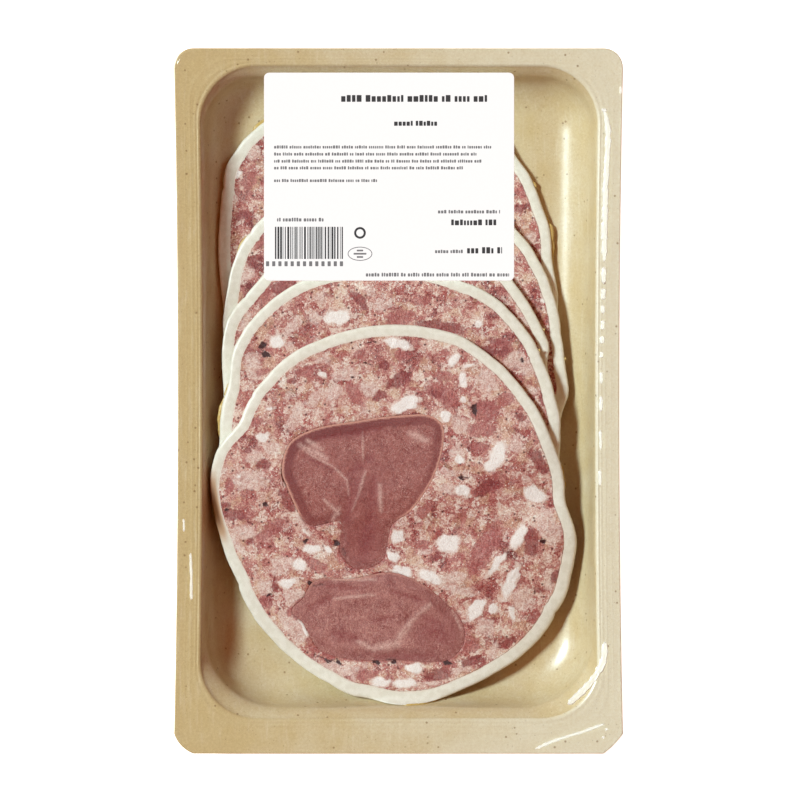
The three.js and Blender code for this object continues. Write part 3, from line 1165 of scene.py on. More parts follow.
    def build(self) -> None:
        """Makes the tray and puts it on the body."""
        mesh = MeshSketch()
        section = self.floor_rings(0.0) + self.rings() + self.floor_rings(-self.sheet)[::-1]
        loops = [mesh.add(plan, z) for plan, z in section]
        for inner, outer in zip(loops, loops[1:]):
            mesh.band(outer, inner)
        mesh.faces.append(tuple(loops[0].tolist()))
        mesh.faces.append(tuple(loops[-1][::-1].tolist()))
        x, _, z = mesh.points().T
        # Painted sheen: its share runs from 0 at the flange's left edge to 1 at its right edge, and
        # is a third elsewhere.
        sheen_share = np.where(z > TRAY_HEIGHT - 0.5, np.clip(0.5 + x / TRAY_WIDTH, 0, 1), 0.33)
        piece = mesh.build("formed_tray", TrayPlastic().build(), {"seal_haze": sheen_share})
        settle(piece, "tray_plastic", "tray")


# The slices


class Tone(Enum):
    """What a piece in the meat is: its mark, its channel there and how proud it stands."""

    WHITE = ("fat_marks", 0, 0.1)
    PALE = ("fat_marks", 1, 0.03)
    LEAN = ("lean_marks", 0, -0.02)
    DEEP = ("lean_marks", 1, -0.06)
    DARK = ("lean_marks", 2, -0.22)

    @property
    def mark(self) -> str:
        """The mark in which it is stored."""
        return self.value[0]

    @property
    def channel(self) -> int:
        """The mark's channel."""
        return self.value[1]

    @property
    def rise(self) -> float:
        """How far it stands proud, in millimetres."""
        return self.value[2]


def blob_weight(blob: Blob, x: Array, y: Array, soft: float = 0.5) -> Array:
    """How much a place belongs to a rounded piece: 1 inside, 0.5 on its edge and 0 outside.

    Args:
        blob: Its place, half length, half width and, where it is long, direction in degrees.
        x: Places across.
        y: Places along.
        soft: Half the width of the soft edge, in millimetres.

    Returns:
        One weight for each place.
    """
    cx, cy, length, width = blob[:4]
    angle = math.radians(sum(blob[4:]))
    u = (x - cx) * math.cos(angle) + (y - cy) * math.sin(angle)
    v = (y - cy) * math.cos(angle) - (x - cx) * math.sin(angle)
    beyond = ((np.abs(u) / length) ** 2.2 + (np.abs(v) / width) ** 2.2) ** (1 / 2.2) - 1
    return np.clip(0.5 - beyond * min(width, 1.6) / (2 * soft), 0, 1)


Filling = dict[Tone, tuple[Blob, ...]]

FIRST_FILLING: Filling = {
    Tone.WHITE: ((-54.9, 77.9, 2.0, 1.7, 60),),
    Tone.PALE: (
        (-49.8, 84.7, 2.7, 2.0, 40), (-58.0, 69.7, 1.7, 2.7, 90), (44.7, 55.4, 1.7, 2.7, 110),
    ),
    Tone.LEAN: ((-51.2, 75.1, 3.1, 2.0, 40), (42.7, 71.7, 1.7, 3.1, 100)),
    Tone.DEEP: (
        (-53.9, 63.2, 3.1, 1.7, 40), (41.0, 66.3, 1.4, 2.7, 100), (46.8, 47.3, 1.7, 2.7, 110),
    ),
}
SECOND_FILLING: Filling = {
    Tone.WHITE: ((50.8, 34.3, 1.2, 2.7, 105),),
    Tone.PALE: ((-51.7, 43.3, 2.7, 2.0, 60), (-56.6, 34.3, 2.0, 1.7, 80)),
    Tone.LEAN: ((-46.4, 54.7, 2.7, 1.7, 40),),
    Tone.DEEP: ((-49.1, 47.9, 3.1, 2.0, 35), (48.5, 44.5, 3.1, 1.7, -60)),
}
THIRD_FILLING: Filling = {
    Tone.WHITE: ((48.1, 24.1, 1.4, 2.4, 110),),
    Tone.PALE: ((-52.2, 27.2, 3.1, 1.7, 70), (-55.3, 16.7, 2.4, 1.7, 90), (43.0, 26.9, 2.0, 1.7)),
    Tone.LEAN: ((-45.9, 34.7, 2.7, 1.7, 40), (41.3, 34.3, 3.4, 1.7, -50)),
    Tone.DEEP: ((-39.6, 39.4, 5.1, 1.9, 20), (14.1, 37.7, 6.8, 2.0)),
}
FOURTH_FILLING: Filling = {
    Tone.WHITE: ((-21.2, 28.6, 4.9, 2.9), (-41.3, 20.2, 2.4, 2.9), (27.4, 26.2, 1.4, 1.4)),
    Tone.PALE: (
        (-28.4, 28.1, 2.0, 2.6), (-49.6, 12.0, 4.8, 2.7, 100), (-10.0, 37.1, 1.9, 2.0),
        (-5.6, 32.6, 3.1, 2.0), (-26.5, 35.0, 1.7, 2.0), (39.6, 14.1, 3.4, 3.1),
        (43.7, 11.6, 2.7, 2.4), (45.7, 3.7, 2.0, 1.4), (-35.5, 25.5, 4.8, 1.5, 45),
        (-37.6, 19.0, 2.0, 1.4),
    ),
    Tone.LEAN: (
        (-18.2, 21.4, 7.5, 2.0, 20), (0.5, 28.2, 5.4, 2.4, 5), (7.3, 34.3, 3.4, 2.0),
        (-46.4, 9.9, 1.7, 2.7, 100), (-31.5, 19.0, 3.4, 1.7, 30), (36.2, 19.0, 3.4, 1.7, -40),
    ),
    Tone.DEEP: (
        (-13.4, 34.3, 4.4, 1.7, -50), (14.1, 25.2, 8.8, 2.2, -5), (33.0, 20.3, 2.4, 1.4),
        (35.9, 17.3, 2.0, 1.4), (30.8, 17.0, 3.1, 1.4, -20), (49.8, 0.3, 1.7, 3.1, 20),
    ),
    Tone.DARK: ((-45.9, 18.7, 1.7, 1.2, 30), (-45.1, 15.6, 1.4, 0.9), (41.8, 13.9, 0.6, 0.7)),
}
FRONT_FILLING: Filling = {
    Tone.WHITE: (
        (-0.5, 19.4, 5.4, 1.7, -10), (-25.8, 8.7, 2.0, 1.0), (-43.9, -2.4, 1.7, 0.9),
        (-46.4, -12.2, 2.7, 1.9), (2.7, -1.2, 6.0, 2.4, 25), (-54.2, -25.8, 1.0, 1.0),
        (18.5, 14.1, 2.7, 1.5, 50), (24.0, 12.2, 2.4, 0.9, 15), (22.1, 6.8, 3.1, 1.7, 95),
        (21.8, 0.1, 1.2, 1.2), (16.2, -5.3, 2.2, 1.9), (33.0, -19.3, 6.5, 2.6, 62),
        (20.8, -20.1, 1.7, 1.7), (21.9, -30.6, 3.1, 2.0, -20), (46.2, -32.1, 4.6, 3.1, -20),
        (-31.6, -44.5, 2.0, 0.7, -30), (-29.1, -50.3, 3.4, 1.5), (-23.7, -50.1, 2.0, 1.2, -40),
        (-33.6, -55.9, 2.4, 2.4), (-37.6, -62.2, 3.4, 1.7, 10), (-32.5, -77.5, 3.7, 1.0, -70),
        (-6.0, -95.9, 4.1, 1.5, 10), (0.0, -46.2, 2.4, 2.4), (0.9, -57.8, 4.1, 2.0, -15),
        (-2.2, -53.0, 1.7, 2.4, 60), (17.3, -48.5, 4.1, 3.4), (40.9, -46.2, 4.8, 1.9, 60),
        (33.5, -55.6, 6.1, 1.4, 50), (38.1, -61.9, 6.8, 2.0, 63), (10.7, -60.0, 4.8, 2.2, -25),
        (26.4, -71.1, 4.8, 2.2, 52), (32.3, -71.1, 2.2, 1.5, -80), (5.3, -91.1, 3.1, 1.7),
        (38.9, -72.8, 3.4, 1.2, -75), (2.2, -96.2, 5.1, 1.7),
    ),
    Tone.PALE: (
        (-35.3, -5.7, 4.9, 1.7, 59), (-43.1, -15.6, 2.9, 2.0), (-49.3, -18.9, 2.9, 1.7, 30),
        (-9.7, 4.2, 3.7, 2.4), (-22.1, 2.6, 3.4, 2.4), (-37.3, 2.1, 1.7, 1.0, 60),
        (-25.8, 13.7, 2.9, 1.4, 20), (-50.5, -26.9, 5.8, 3.1), (30.4, 6.5, 4.4, 3.1, -50),
        (21.2, -7.8, 3.4, 2.7, -80), (20.2, -17.3, 2.4, 1.4), (16.8, -29.9, 3.1, 2.0),
        (43.3, -26.7, 1.7, 1.4), (16.7, -24.3, 2.4, 1.4), (39.6, -15.2, 2.7, 2.7),
        (-52.2, -44.9, 5.8, 2.0, -5), (-32.8, -41.8, 3.1, 1.2, -60), (-38.9, -55.1, 4.1, 2.0),
        (-41.4, -58.3, 2.0, 1.7), (-45.6, -63.5, 2.4, 2.4), (-35.7, -66.6, 3.4, 2.4),
        (-35.2, -76.8, 6.8, 3.4, -45), (-19.2, -91.7, 6.5, 2.2, -15), (-11.4, -90.4, 1.4, 1.2),
        (-55.3, -48.3, 4.1, 1.7, -60), (8.7, -51.1, 2.7, 1.4), (19.4, -60.4, 3.7, 2.2),
        (20.9, -64.6, 6.1, 1.4, -12), (42.3, -67.7, 4.1, 3.4, 60), (30.1, -77.3, 3.1, 2.7),
        (51.2, -42.8, 6.8, 3.4, -60), (51.5, -60.9, 4.1, 2.0, 80), (11.4, -96.6, 3.4, 1.0, 10),
        (21.6, -91.3, 2.7, 1.4, 20), (32.5, -85.0, 2.7, 1.7, 60), (-18.2, 8.8, 4.8, 2.0, 15),
        (-29.1, 0.3, 4.1, 2.0, 30), (36.2, 12.2, 1.7, 1.4),
    ),
    Tone.LEAN: (
        (-15.1, 2.6, 4.4, 2.0, -65), (-13.1, 15.7, 2.0, 1.4), (-31.6, 10.0, 3.7, 1.7, 30),
        (-48.5, -6.9, 2.0, 1.4), (-39.4, 2.1, 1.0, 1.0), (-57.5, -28.8, 2.7, 1.4, 100),
        (1.2, 15.7, 3.1, 1.4), (15.0, 2.0, 6.8, 3.1, -30), (15.2, 8.3, 3.1, 2.0),
        (15.6, 17.0, 1.4, 1.4), (22.3, 14.1, 1.7, 0.9, 60), (29.2, -3.7, 4.8, 3.7),
        (28.4, -9.9, 4.8, 2.4), (36.7, 0.5, 3.1, 2.0), (27.6, -15.6, 3.4, 1.4),
        (34.5, -25.8, 2.7, 1.7), (-43.5, -44.2, 6.8, 2.0, 40), (-28.1, -55.8, 5.1, 2.0, -30),
        (-44.7, -68.2, 2.0, 2.7), (-35.2, -71.9, 3.1, 1.7), (-28.2, -82.3, 3.1, 4.1),
        (29.4, -50.0, 10.2, 3.7, 62), (18.5, -54.2, 2.7, 1.0), (46.6, -73.6, 2.7, 1.7, 50),
        (24.0, -83.0, 3.4, 3.1), (-10.5, -93.4, 4.1, 2.0), (-3.1, -95.4, 1.5, 2.4),
        (21.8, -39.4, 2.4, 1.4, 90), (9.0, -37.1, 3.1, 1.7, 40), (8.0, -49.0, 2.4, 1.7),
        (-23.3, -8.2, 2.0, 1.4), (-33.5, -13.3, 1.7, 1.4),
    ),
    Tone.DEEP: (
        (-46.0, -21.6, 2.4, 1.7), (-6.0, 2.1, 2.4, 1.5, 30), (-0.2, 7.1, 4.8, 2.0, 25),
        (-4.8, 12.4, 2.0, 1.4), (-36.1, 6.7, 1.7, 0.9, 20), (-51.3, -16.4, 1.7, 1.0, 30),
        (-59.2, -35.4, 2.4, 1.0), (-37.9, -34.0, 4.8, 1.7, -60), (41.7, -5.7, 2.0, 1.4),
        (47.8, -20.9, 4.8, 2.2, -60), (30.4, -29.6, 4.8, 2.4, 25), (-56.3, -39.0, 4.1, 1.9, -5),
        (-50.2, -47.6, 1.4, 1.0), (-13.1, -54.1, 4.1, 2.4, 60), (-42.0, -62.6, 3.1, 1.0, 90),
        (45.3, -48.5, 4.8, 2.7, 90), (53.6, -60.0, 2.7, 1.2, 70), (31.3, -65.8, 2.0, 1.4, -80),
        (11.9, -53.4, 2.0, 1.0), (48.1, -64.1, 2.0, 1.0, -20), (26.0, -88.8, 4.1, 1.7, 15),
        (13.6, -93.4, 4.8, 2.2, 5), (37.1, -82.6, 3.1, 1.4, 25), (13.1, 2.0, 2.7, 1.4, -30),
    ),
    Tone.DARK: (
        (25.9, -2.7, 1.4, 0.7, 90), (-45.4, -35.0, 1.1, 1.0), (49.5, -48.0, 1.0, 1.0),
        (-17.2, -54.6, 0.9, 0.9), (21.8, -26.1, 1.5, 0.6, -10), (-31.6, -47.6, 1.2, 0.7),
        (-21.2, -48.3, 1.2, 1.0), (-30.3, -62.1, 0.9, 0.7), (-27.0, -62.7, 1.7, 0.3, 12),
        (-27.4, -64.5, 1.7, 0.3, -8), (-31.1, -64.3, 0.7, 0.5), (16.8, -89.4, 1.5, 0.7, -10),
        (-24.5, -88.1, 2.7, 0.5, -15), (-20.4, -88.8, 1.4, 0.5, -40), (-7.7, -88.8, 1.2, 0.7),
        (-1.9, -88.4, 1.0, 1.2), (-59.0, -37.1, 0.9, 0.6), (-44.0, -66.1, 1.0, 0.4),
        (-15.1, 8.2, 1.0, 0.3), (-9.7, 12.8, 1.7, 0.3, -10), (-9.0, 20.0, 2.0, 0.3, -8),
    ),
}


@dataclass(frozen=True)
class SliceShape:
    """The outline of a slice: a rounded ellipse with lumps, dents and nicks.

    Attributes:
        centre: Its middle.
        half: Half its width and length.
        squareness: 2 for an ellipse, more for a squarer form.
        turn: Its turn, in degrees.
        lumps: Direction, rise and spread of each lump or dent.
        nicks: The same, for small ones that only the dressed slice has.
        swells: The same, for places where the rind is wider or narrower.
        painted_shades: The same, for places where the rind is thin and its outer edge is painted
            dark brown as shade.
        trims: Directions and how far the dressed slice's outline is moved out there.
    """

    centre: Place
    half: Place
    squareness: float
    turn: float
    lumps: tuple[Bump, ...]
    nicks: tuple[Bump, ...] = ()
    swells: tuple[Bump, ...] = ()
    painted_shades: tuple[Bump, ...] = ()
    trims: tuple[Place, ...] = ((0.0, 0.0),)
    rind: float = 3.8
    level_margin: float = 7 * math.sqrt(2)
    ramp: float = 24.0

    @staticmethod
    def bumps(items: Sequence[Bump], degrees: Array) -> Array:
        """Adds up bumps in a direction.

        Args:
            items: Direction, rise and spread of each.
            degrees: Directions.

        Returns:
            The rise in each direction.
        """
        total = np.zeros_like(degrees, float)
        for direction, rise, spread in items:
            away = (degrees - direction + 180) % 360 - 180
            total += rise * np.exp(-((away / spread) ** 2))
        return total

    def radius(self, degrees: Array) -> Array:
        """The radius as the CAD has it.

        Args:
            degrees: Directions.

        Returns:
            One radius for each direction.
        """
        angle = np.radians(degrees - self.turn)
        across = (np.abs(np.cos(angle)) / self.half[0]) ** self.squareness
        along = (np.abs(np.sin(angle)) / self.half[1]) ** self.squareness
        return (across + along) ** (-1 / self.squareness) + self.bumps(self.lumps, degrees)

    def trim(self, degrees: Array) -> Array:
        """How far the dressed outline is moved out.

        Args:
            degrees: Directions.

        Returns:
            One distance for each direction.
        """
        at, rise = np.array(self.trims).T
        shares = ((-3, 0.15), (-1.5, 0.2), (0, 0.3), (1.5, 0.2), (3, 0.15))
        return sum(w * np.interp((degrees + s) % 360, at, rise, period=360) for s, w in shares)

    def fine_radius(self, degrees: Array) -> Array:
        """The radius with its trims, its nicks and a little unevenness.

        Args:
            degrees: Directions.

        Returns:
            One radius for each direction.
        """
        along = degrees * math.pi / 180 * 60
        own = np.full_like(along, self.centre[1])
        rough = 0.14 * Unevenness(21, 4.0).at(along, own + self.turn)
        rough += 0.05 * Unevenness(22, 1.2).at(along, own)
        seam = smoothstep(np.minimum(degrees, 360 - degrees) / 6)
        fine = self.radius(degrees) + self.trim(degrees) + self.bumps(self.nicks, degrees)
        return fine + rough * seam - 0.05

    def rind_width(self, degrees: Array) -> Array:
        """The rind's width in a direction."""
        return self.rind + self.bumps(self.swells, degrees)

    def directions(self, count: int) -> Array:
        """Evenly spaced directions in degrees."""
        return np.arange(count) * 360 / count

    def loop(self, degrees: Array, inset: Array | float) -> Array:
        """The outline moved inwards.

        Args:
            degrees: Directions.
            inset: How far it is moved.

        Returns:
            Its point in each direction.
        """
        reach = self.fine_radius(degrees) - inset
        angle = np.radians(degrees)
        return np.column_stack([
            self.centre[0] + reach * np.cos(angle), self.centre[1] + reach * np.sin(angle)
        ])

    def polar(self, x: Array, y: Array) -> tuple[Array, Array]:
        """Direction in degrees and distance from the middle."""
        dx, dy = x - self.centre[0], y - self.centre[1]
        return np.degrees(np.arctan2(dy, dx)) % 360, np.hypot(dx, dy)

    def cover(self, x: Array, y: Array) -> Array:
        """1 on and close round the slice, falling to 0 away from it."""
        degrees, away = self.polar(x, y)
        return 1 - smoothstep((away - self.radius(degrees) - self.level_margin) / self.ramp)


SHAPES = (
    SliceShape(
        (-4.6, 43.6), (57, 62), 2.5, 10, ((146, 1.3, 5), (163, -1, 8), (42, -1.2, 6)),
        ((152, -0.5, 0.8),), ((150, 0.5, 12), (190, 0.6, 25)),
        trims=(
            (0, 0.3), (5, 0.1), (9, 0.9), (12, 1.2), (18, 1.2), (23, 0.4), (34, 0), (90, 0),
            (120, 1.5), (133, 2.4), (137, 2.5), (141, 1.5), (147, 0.5), (156, 0), (165, -0.3),
            (172, -0.9), (179, -1.1), (190, -0.5), (205, 0), (340, 0.4), (352, 1.2),
        ),
    ),
    SliceShape(
        (-1.8, 15), (57.8, 63.5), 2.3, 12,
        ((141, 0.9, 8), (165, -0.9, 8), (46, -1.2, 6), (349, 1.3, 6)),
        ((139, -0.5, 0.8),), ((165, 0.6, 20), (350, 0.5, 12)),
        trims=(
            (0, 0), (9, 0), (13, 0.6), (26, 0.5), (34, 0), (44, 0.2), (50, 0.2), (60, 0),
            (120, 0.4), (133, 0.9), (138, 0.2), (150, 0.3), (157, -0.2), (164, 0.3), (169, 0.2),
            (175, -1.2), (190, -0.8), (205, 0), (335, -0.3), (342, -0.6), (348, 0), (355, -0.2),
        ),
    ),
    SliceShape(
        (-4.2, -5), (58.6, 63), 2.35, 0, ((152, 0.8, 8), (24, 0.5, 8)),
        ((140, -0.3, 0.8), (28.5, 0.35, 0.4)), ((160, 0.4, 20),),
        trims=(
            (0, -1.5), (10, -2), (16, -2.8), (19.5, -3), (20.7, -0.6), (25, -0.9), (32, -1.1),
            (43, -1.2), (48, -0.6), (60, 0), (125, 0), (133, -0.5), (138, -0.5), (143, 0.4),
            (149, 0.5), (154, -0.2), (158, -0.6), (164, -1.6), (170, -2.9), (182, -3),
            (200, -1), (215, 0), (340, -0.5),
        ),
    ),
    SliceShape(
        (-4.2, -18.2), (59.2, 63.5), 2.35, 0, ((152, 0.9, 8), (68, -0.6, 7), (33, -0.5, 7)),
        ((34.2, 0.4, 0.4), (138.5, 0.3, 0.5)), ((20, 0.5, 25), (165, 0.6, 14)),
        trims=(
            (0, -0.1), (5, 0.3), (10, 0.8), (14, 0.6), (19, 0), (33, 0.1), (36, 0.4), (40, -0.1),
            (45, -0.4), (52, 0), (100, 0.3), (116, 0.8), (126, 0.4), (135, 0.5), (143, 0.1),
            (146, -0.3), (149, -1.6), (152, -2.8), (157, -3.7), (161, -2.4), (168, -1.9),
            (175, -2.4), (190, -1), (205, 0),
        ),
    ),
    SliceShape(
        (-1, -38.7), (59.1, 63.5), 2.23, 24,
        ((150, -2.6, 6), (168, 1.3, 10), (5, -1.5, 10), (36, 0.9, 9), (70, 0.9, 9),
         (238, -0.6, 14), (262, -1.2, 5), (281, 1.7, 8), (310, -0.8, 9), (333, 0.5, 8)),
        ((140.9, -0.6, 0.5), (328.2, -0.4, 0.8), (204, -0.3, 1.0)),
        ((330, 0.8, 30), (20, 0.4, 30), (176, -0.7, 12), (100, 0.2, 25), (265, 0.9, 22),
         (216, 0.7, 20)),
        # Where the rind's left edge is painted dark brown as shade.
        ((178, 1.0, 9),),
        (
            (2, -0.7), (5, -1.1), (8, -0.1), (14, 0), (28, -0.4), (41, -0.3), (48, 0.4), (55, 0.8),
            (60, 0.4), (75, 0.2), (95, 0.6), (114, 1.4), (120, 1.8), (127, 1.1), (134, 0.1),
            (140, -0.2), (142, -0.6), (145, -0.3), (148, 0.5), (163, 0.8), (180, 0.8), (184, 0.3),
            (197, 0.1), (201, -0.4), (207, 0.2), (215, 0.4), (222, -0.1), (236, -0.5),
            (250, -0.9), (257, 0.4), (262, 0.7), (270, 0.6), (279, -0.5), (286, -0.4), (293, 0.4),
            (302, 0.8), (310, 1.7), (315, 1.5), (326, 0.4), (330, -0.1), (336, 0.6), (341, 0),
            (352, 0.9), (358, 0),
        ),
    ),
)


@dataclass(frozen=True)
class Stack:
    """How the slices lie on each other.

    Attributes:
        tray: The tray below them.
        shapes: The slices, from the lowest up.
        foot_lift: How far the fillet lifts the stack's front end.
        foot_start: Where along the pack that starts.
        foot_end: Where it is complete.
        level_height: Height above which a lift no longer shows.
    """

    tray: Tray
    shapes: tuple[SliceShape, ...] = SHAPES
    foot_lift: float = 3.2
    foot_start: float = -84.0
    foot_end: float = -103.0
    level_height: float = 13.9

    def underside(self, order: int, x: Array, y: Array) -> Array:
        """Height of a slice's underside.

        Args:
            order: How many slices lie below it.
            x: Places across.
            y: Places along.

        Returns:
            One height for each place.
        """
        foot = smoothstep((self.foot_start - y) / (self.foot_start - self.foot_end))
        height = self.tray.sheet + GAP + self.foot_lift * foot
        for lower in self.shapes[:order]:
            height = height + (SLICE_THICKNESS + GAP) * lower.cover(x, y)
        return height

    def squeeze(self, height: Array) -> Array:
        """How much a lift at the bottom of the stack still lifts it at a height."""
        return np.clip(1 - height / self.level_height, 0.1, 1)

    def lift(self, x: Array, y: Array) -> Array:
        """How far the tray's fillet lifts the bottom of the stack.

        Args:
            x: Places across.
            y: Places along.

        Returns:
            One lift for each place.
        """
        tray = self.tray.inside_height(x, y) + 0.1
        most = np.zeros_like(x, float)
        for order, shape in enumerate(self.shapes):
            degrees, away = shape.polar(x, y)
            near = 1 - smoothstep((away - shape.radius(degrees) - 1.5) / 5)
            lying = self.underside(order, x, y)
            most = np.maximum(most, near * (tray - lying) / self.squeeze(lying))
        return most

    def level(self, order: int, above: float) -> Heights:
        """Heights inside a slice.

        Args:
            order: How many slices lie below it.
            above: How far above its underside.

        Returns:
            The height as a function of the place.
        """

        def height(x: Array, y: Array) -> Array:
            """Height at each place."""
            flat = self.underside(order, x, y) + above
            return flat + self.lift(x, y) * np.clip(1 - flat / self.level_height, 0, 1)

        return height


@dataclass(frozen=True)
class TongueCut:
    """A cut through tongue that shows in the front slice.

    Attributes:
        name: Name of the piece.
        node: The CAD node that it stands for.
        knots: Its outline.
        finish: Its material.
        skin: How strongly the pale skin shows.
        band: Where the dark band under the skin is strongest: direction in degrees and share.
        strokes: Pale, dark and black streaks: two ends and half the width of each.
        mottles: Where pale flecks lie.
        skin_end: Where along the pack the skin ends and the cut meat is bare.
        lips: How far inside the outline, and drop, of the rings that round its top edge.
    """

    name: str
    node: str
    knots: tuple[Place, ...]
    finish: TongueMeat
    skin: float
    band: tuple[float, float]
    strokes: tuple[tuple[tuple[float, ...], ...], ...]
    mottles: tuple[Blob, ...] = ()
    skin_end: float = -42.0
    lips: tuple[Place, ...] = ((0.0, 0.1), (-0.07, -0.02), (0.0, -0.05), (0.28, -0.03))
    count: int = 220
    spacing: float = 0.55
    clearance: float = 0.04
    swell: float = 0.12

    def outline(self) -> Array:
        """Its outline, counter-clockwise."""
        return smooth_loop(self.knots, self.count)

    def hole(self, crack: Callable[[Array], Array]) -> Array:
        """The hole that it needs in the slice, with a crack where the meat has come away."""
        loop = self.outline()
        return loop + outward_normals(loop) * (self.clearance + crack(loop))[:, None]

    def stroke_marks(self, x: Array, y: Array) -> Array:
        """Weights of the pale, dark and black streaks.

        Args:
            x: Places across.
            y: Places along.

        Returns:
            Four channels for each place, the last one unused.
        """
        marks = np.zeros((len(x), 4))
        for channel, group in enumerate(self.strokes):
            for x0, y0, x1, y1, width in group:
                dx, dy = x1 - x0, y1 - y0
                along = np.clip(((x - x0) * dx + (y - y0) * dy) / (dx * dx + dy * dy + 1e-9), 0, 1)
                away = np.hypot(x - x0 - along * dx, y - y0 - along * dy)
                taper = 0.45 + 0.55 * np.sin(math.pi * np.clip(along, 0.08, 0.92)) ** 0.6
                weight = np.exp(-((away / (width * taper)) ** 2))
                marks[:, channel] = np.maximum(marks[:, channel], weight)
        return marks

    def rim_marks(self, loop: Array, plan: Array) -> Array:
        """Weights of the skin, of the dark band under it and of the pale flecks.

        Args:
            loop: The cut's outline.
            plan: Places on it.

        Returns:
            Four channels for each place, the last one unused.
        """
        away = loop_distance(loop, plan)
        middle = loop.mean(0)
        angle = np.arctan2(plan[:, 1] - middle[1], plan[:, 0] - middle[0])
        facing = 0.5 + 0.5 * np.cos(angle - math.radians(self.band[0]))
        rough = Unevenness(31, 5).at(*plan.T)
        wide = 1.6 + 1.8 * facing + 0.5 * rough
        marks = np.zeros((len(plan), 4))
        shown = smoothstep((plan[:, 1] - self.skin_end) / 5)
        marks[:, 0] = self.skin * shown * (1 - smoothstep((away - 0.4 - 0.15 * rough) / 0.35))
        marks[:, 1] = self.band[1] * (0.25 + 0.75 * facing) * (1 - smoothstep((away - wide) / 1.4))
        marks[:, 2] = (1 - shown) * (1 - smoothstep((away - 0.3) / 2.4))
        for blob in self.mottles:
            marks[:, 2] = np.maximum(marks[:, 2], blob_weight(blob, *plan.T, soft=2.5))
        return marks

    def build(self, bottom: Heights, top: Heights) -> None:
        """Makes the piece and puts it on the body.

        Args:
            bottom: Height of the slice's underside.
            top: Height of the meat round the cut.
        """
        loop = self.outline()
        normals = outward_normals(loop)
        mesh = MeshSketch()
        rims = [mesh.add(loop, bottom(*loop.T) + 0.05)]
        for inset, drop in self.lips:
            plan = loop - normals * inset
            rims.append(mesh.add(plan, top(*plan.T) - drop))
        for low, high in zip(rims, rims[1:]):
            mesh.band(low, high)
        inner = loop - normals * self.lips[-1][0]
        points, faces = fill_region(inner, [], self.spacing)
        away = loop_distance(inner, points)
        rough = 0.09 * Unevenness(32, 2.6).at(*points.T) + 0.05 * Unevenness(33, 1.0).at(*points.T)
        streaks = self.stroke_marks(*points.T)
        rough += 0.08 * streaks[:, 0] - 0.12 * streaks[:, 1] - 0.25 * streaks[:, 2]
        rise = (self.swell + rough) * smoothstep(away / 2.5)
        filled = mesh.add(points, top(*points.T) + 0.03 + rise)
        mesh.region(np.concatenate([rims[-1], filled]), faces)
        points, faces = fill_region(loop, [], 5.0)
        filled = mesh.add(points, bottom(*points.T) + 0.05)
        mesh.region(np.concatenate([rims[0], filled]), faces, upwards=False)
        plan = mesh.points()[:, :2]
        marks = {
            "stroke_marks": self.stroke_marks(*plan.T),
            "rim_marks": self.rim_marks(loop, plan),
        }
        settle(mesh.build(self.name, self.finish.build(), marks), "tongue", self.node)


UPPER_CUT = TongueCut(
    "tongue_cut_upper", "tongue_upper",
    (
        (-39.6, -23.8), (-36.9, -14.3), (-28.1, -9.5), (-15.1, -7.1), (-2.2, -5.3), (11.1, -5.2),
        (15.1, -8.9), (13.1, -22.8), (4.4, -37.1), (-2.2, -42.2), (-5.8, -54.5), (-14.1, -57.1),
        (-19.6, -52), (-19.6, -41.2), (-30.4, -42.2), (-37.9, -29.2),
    ),
    TongueMeat("tongue_upper_finish", 0.9, 20, 0.6),
    1.0, (125, 1.0),
    (
        (
            (-33.5, -15.0, -24.5, -19.5, 1.2), (-31.5, -17.5, -22.0, -22.5, 0.4),
            (-31.0, -13.5, -26.0, -16.5, 1.0), (-12.2, -10.5, -12.0, -21.5, 0.3),
            (-22.0, -22.5, -17.5, -27.0, 0.45), (-17.5, -27.0, -17.0, -32.0, 0.4),
            (-11.2, -24.0, -13.5, -31.5, 0.6), (-13.5, -31.5, -16.0, -38.0, 0.35),
            (-6.4, -28.5, -6.0, -37.5, 0.8), (-20.0, -38.5, -25.5, -33.5, 0.6),
            (4.0, -11.0, 9.5, -13.5, 1.4), (-22.5, -40.5, -20.0, -36.5, 0.7),
        ),
        (
            (-33.2, -18.2, -22.0, -23.8, 0.6), (-14.5, -27.0, -17.5, -40.0, 2.2),
            (-9.0, -40.0, -12.0, -52.0, 3.6), (-20.5, -12.5, -6.0, -9.5, 1.4),
            (-28.0, -13.0, -18.0, -11.5, 0.9), (-8.5, -26.0, -9.0, -40.0, 1.6),
            (-17.0, -25.0, -9.0, -19.0, 1.6),
        ),
        ((-19.0, -50.5, -18.0, -52.5, 0.7), (-24.5, -41.5, -22.5, -42.5, 0.7)),
    ),
    (
        (-29.0, -30.0, 8.0, 7.5, 70), (5.0, -14.0, 10.0, 5.5, 20), (2.0, -29.0, 9.5, 5.0, 60),
        (-30.0, -18.0, 4.5, 4.0, 0), (-24.0, -37.5, 5.0, 3.5, 0), (-14.0, -16.0, 7.0, 3.0, 0),
        (-3.5, -45.0, 2.0, 6.0, 10),
    ),
    -42.0,
)
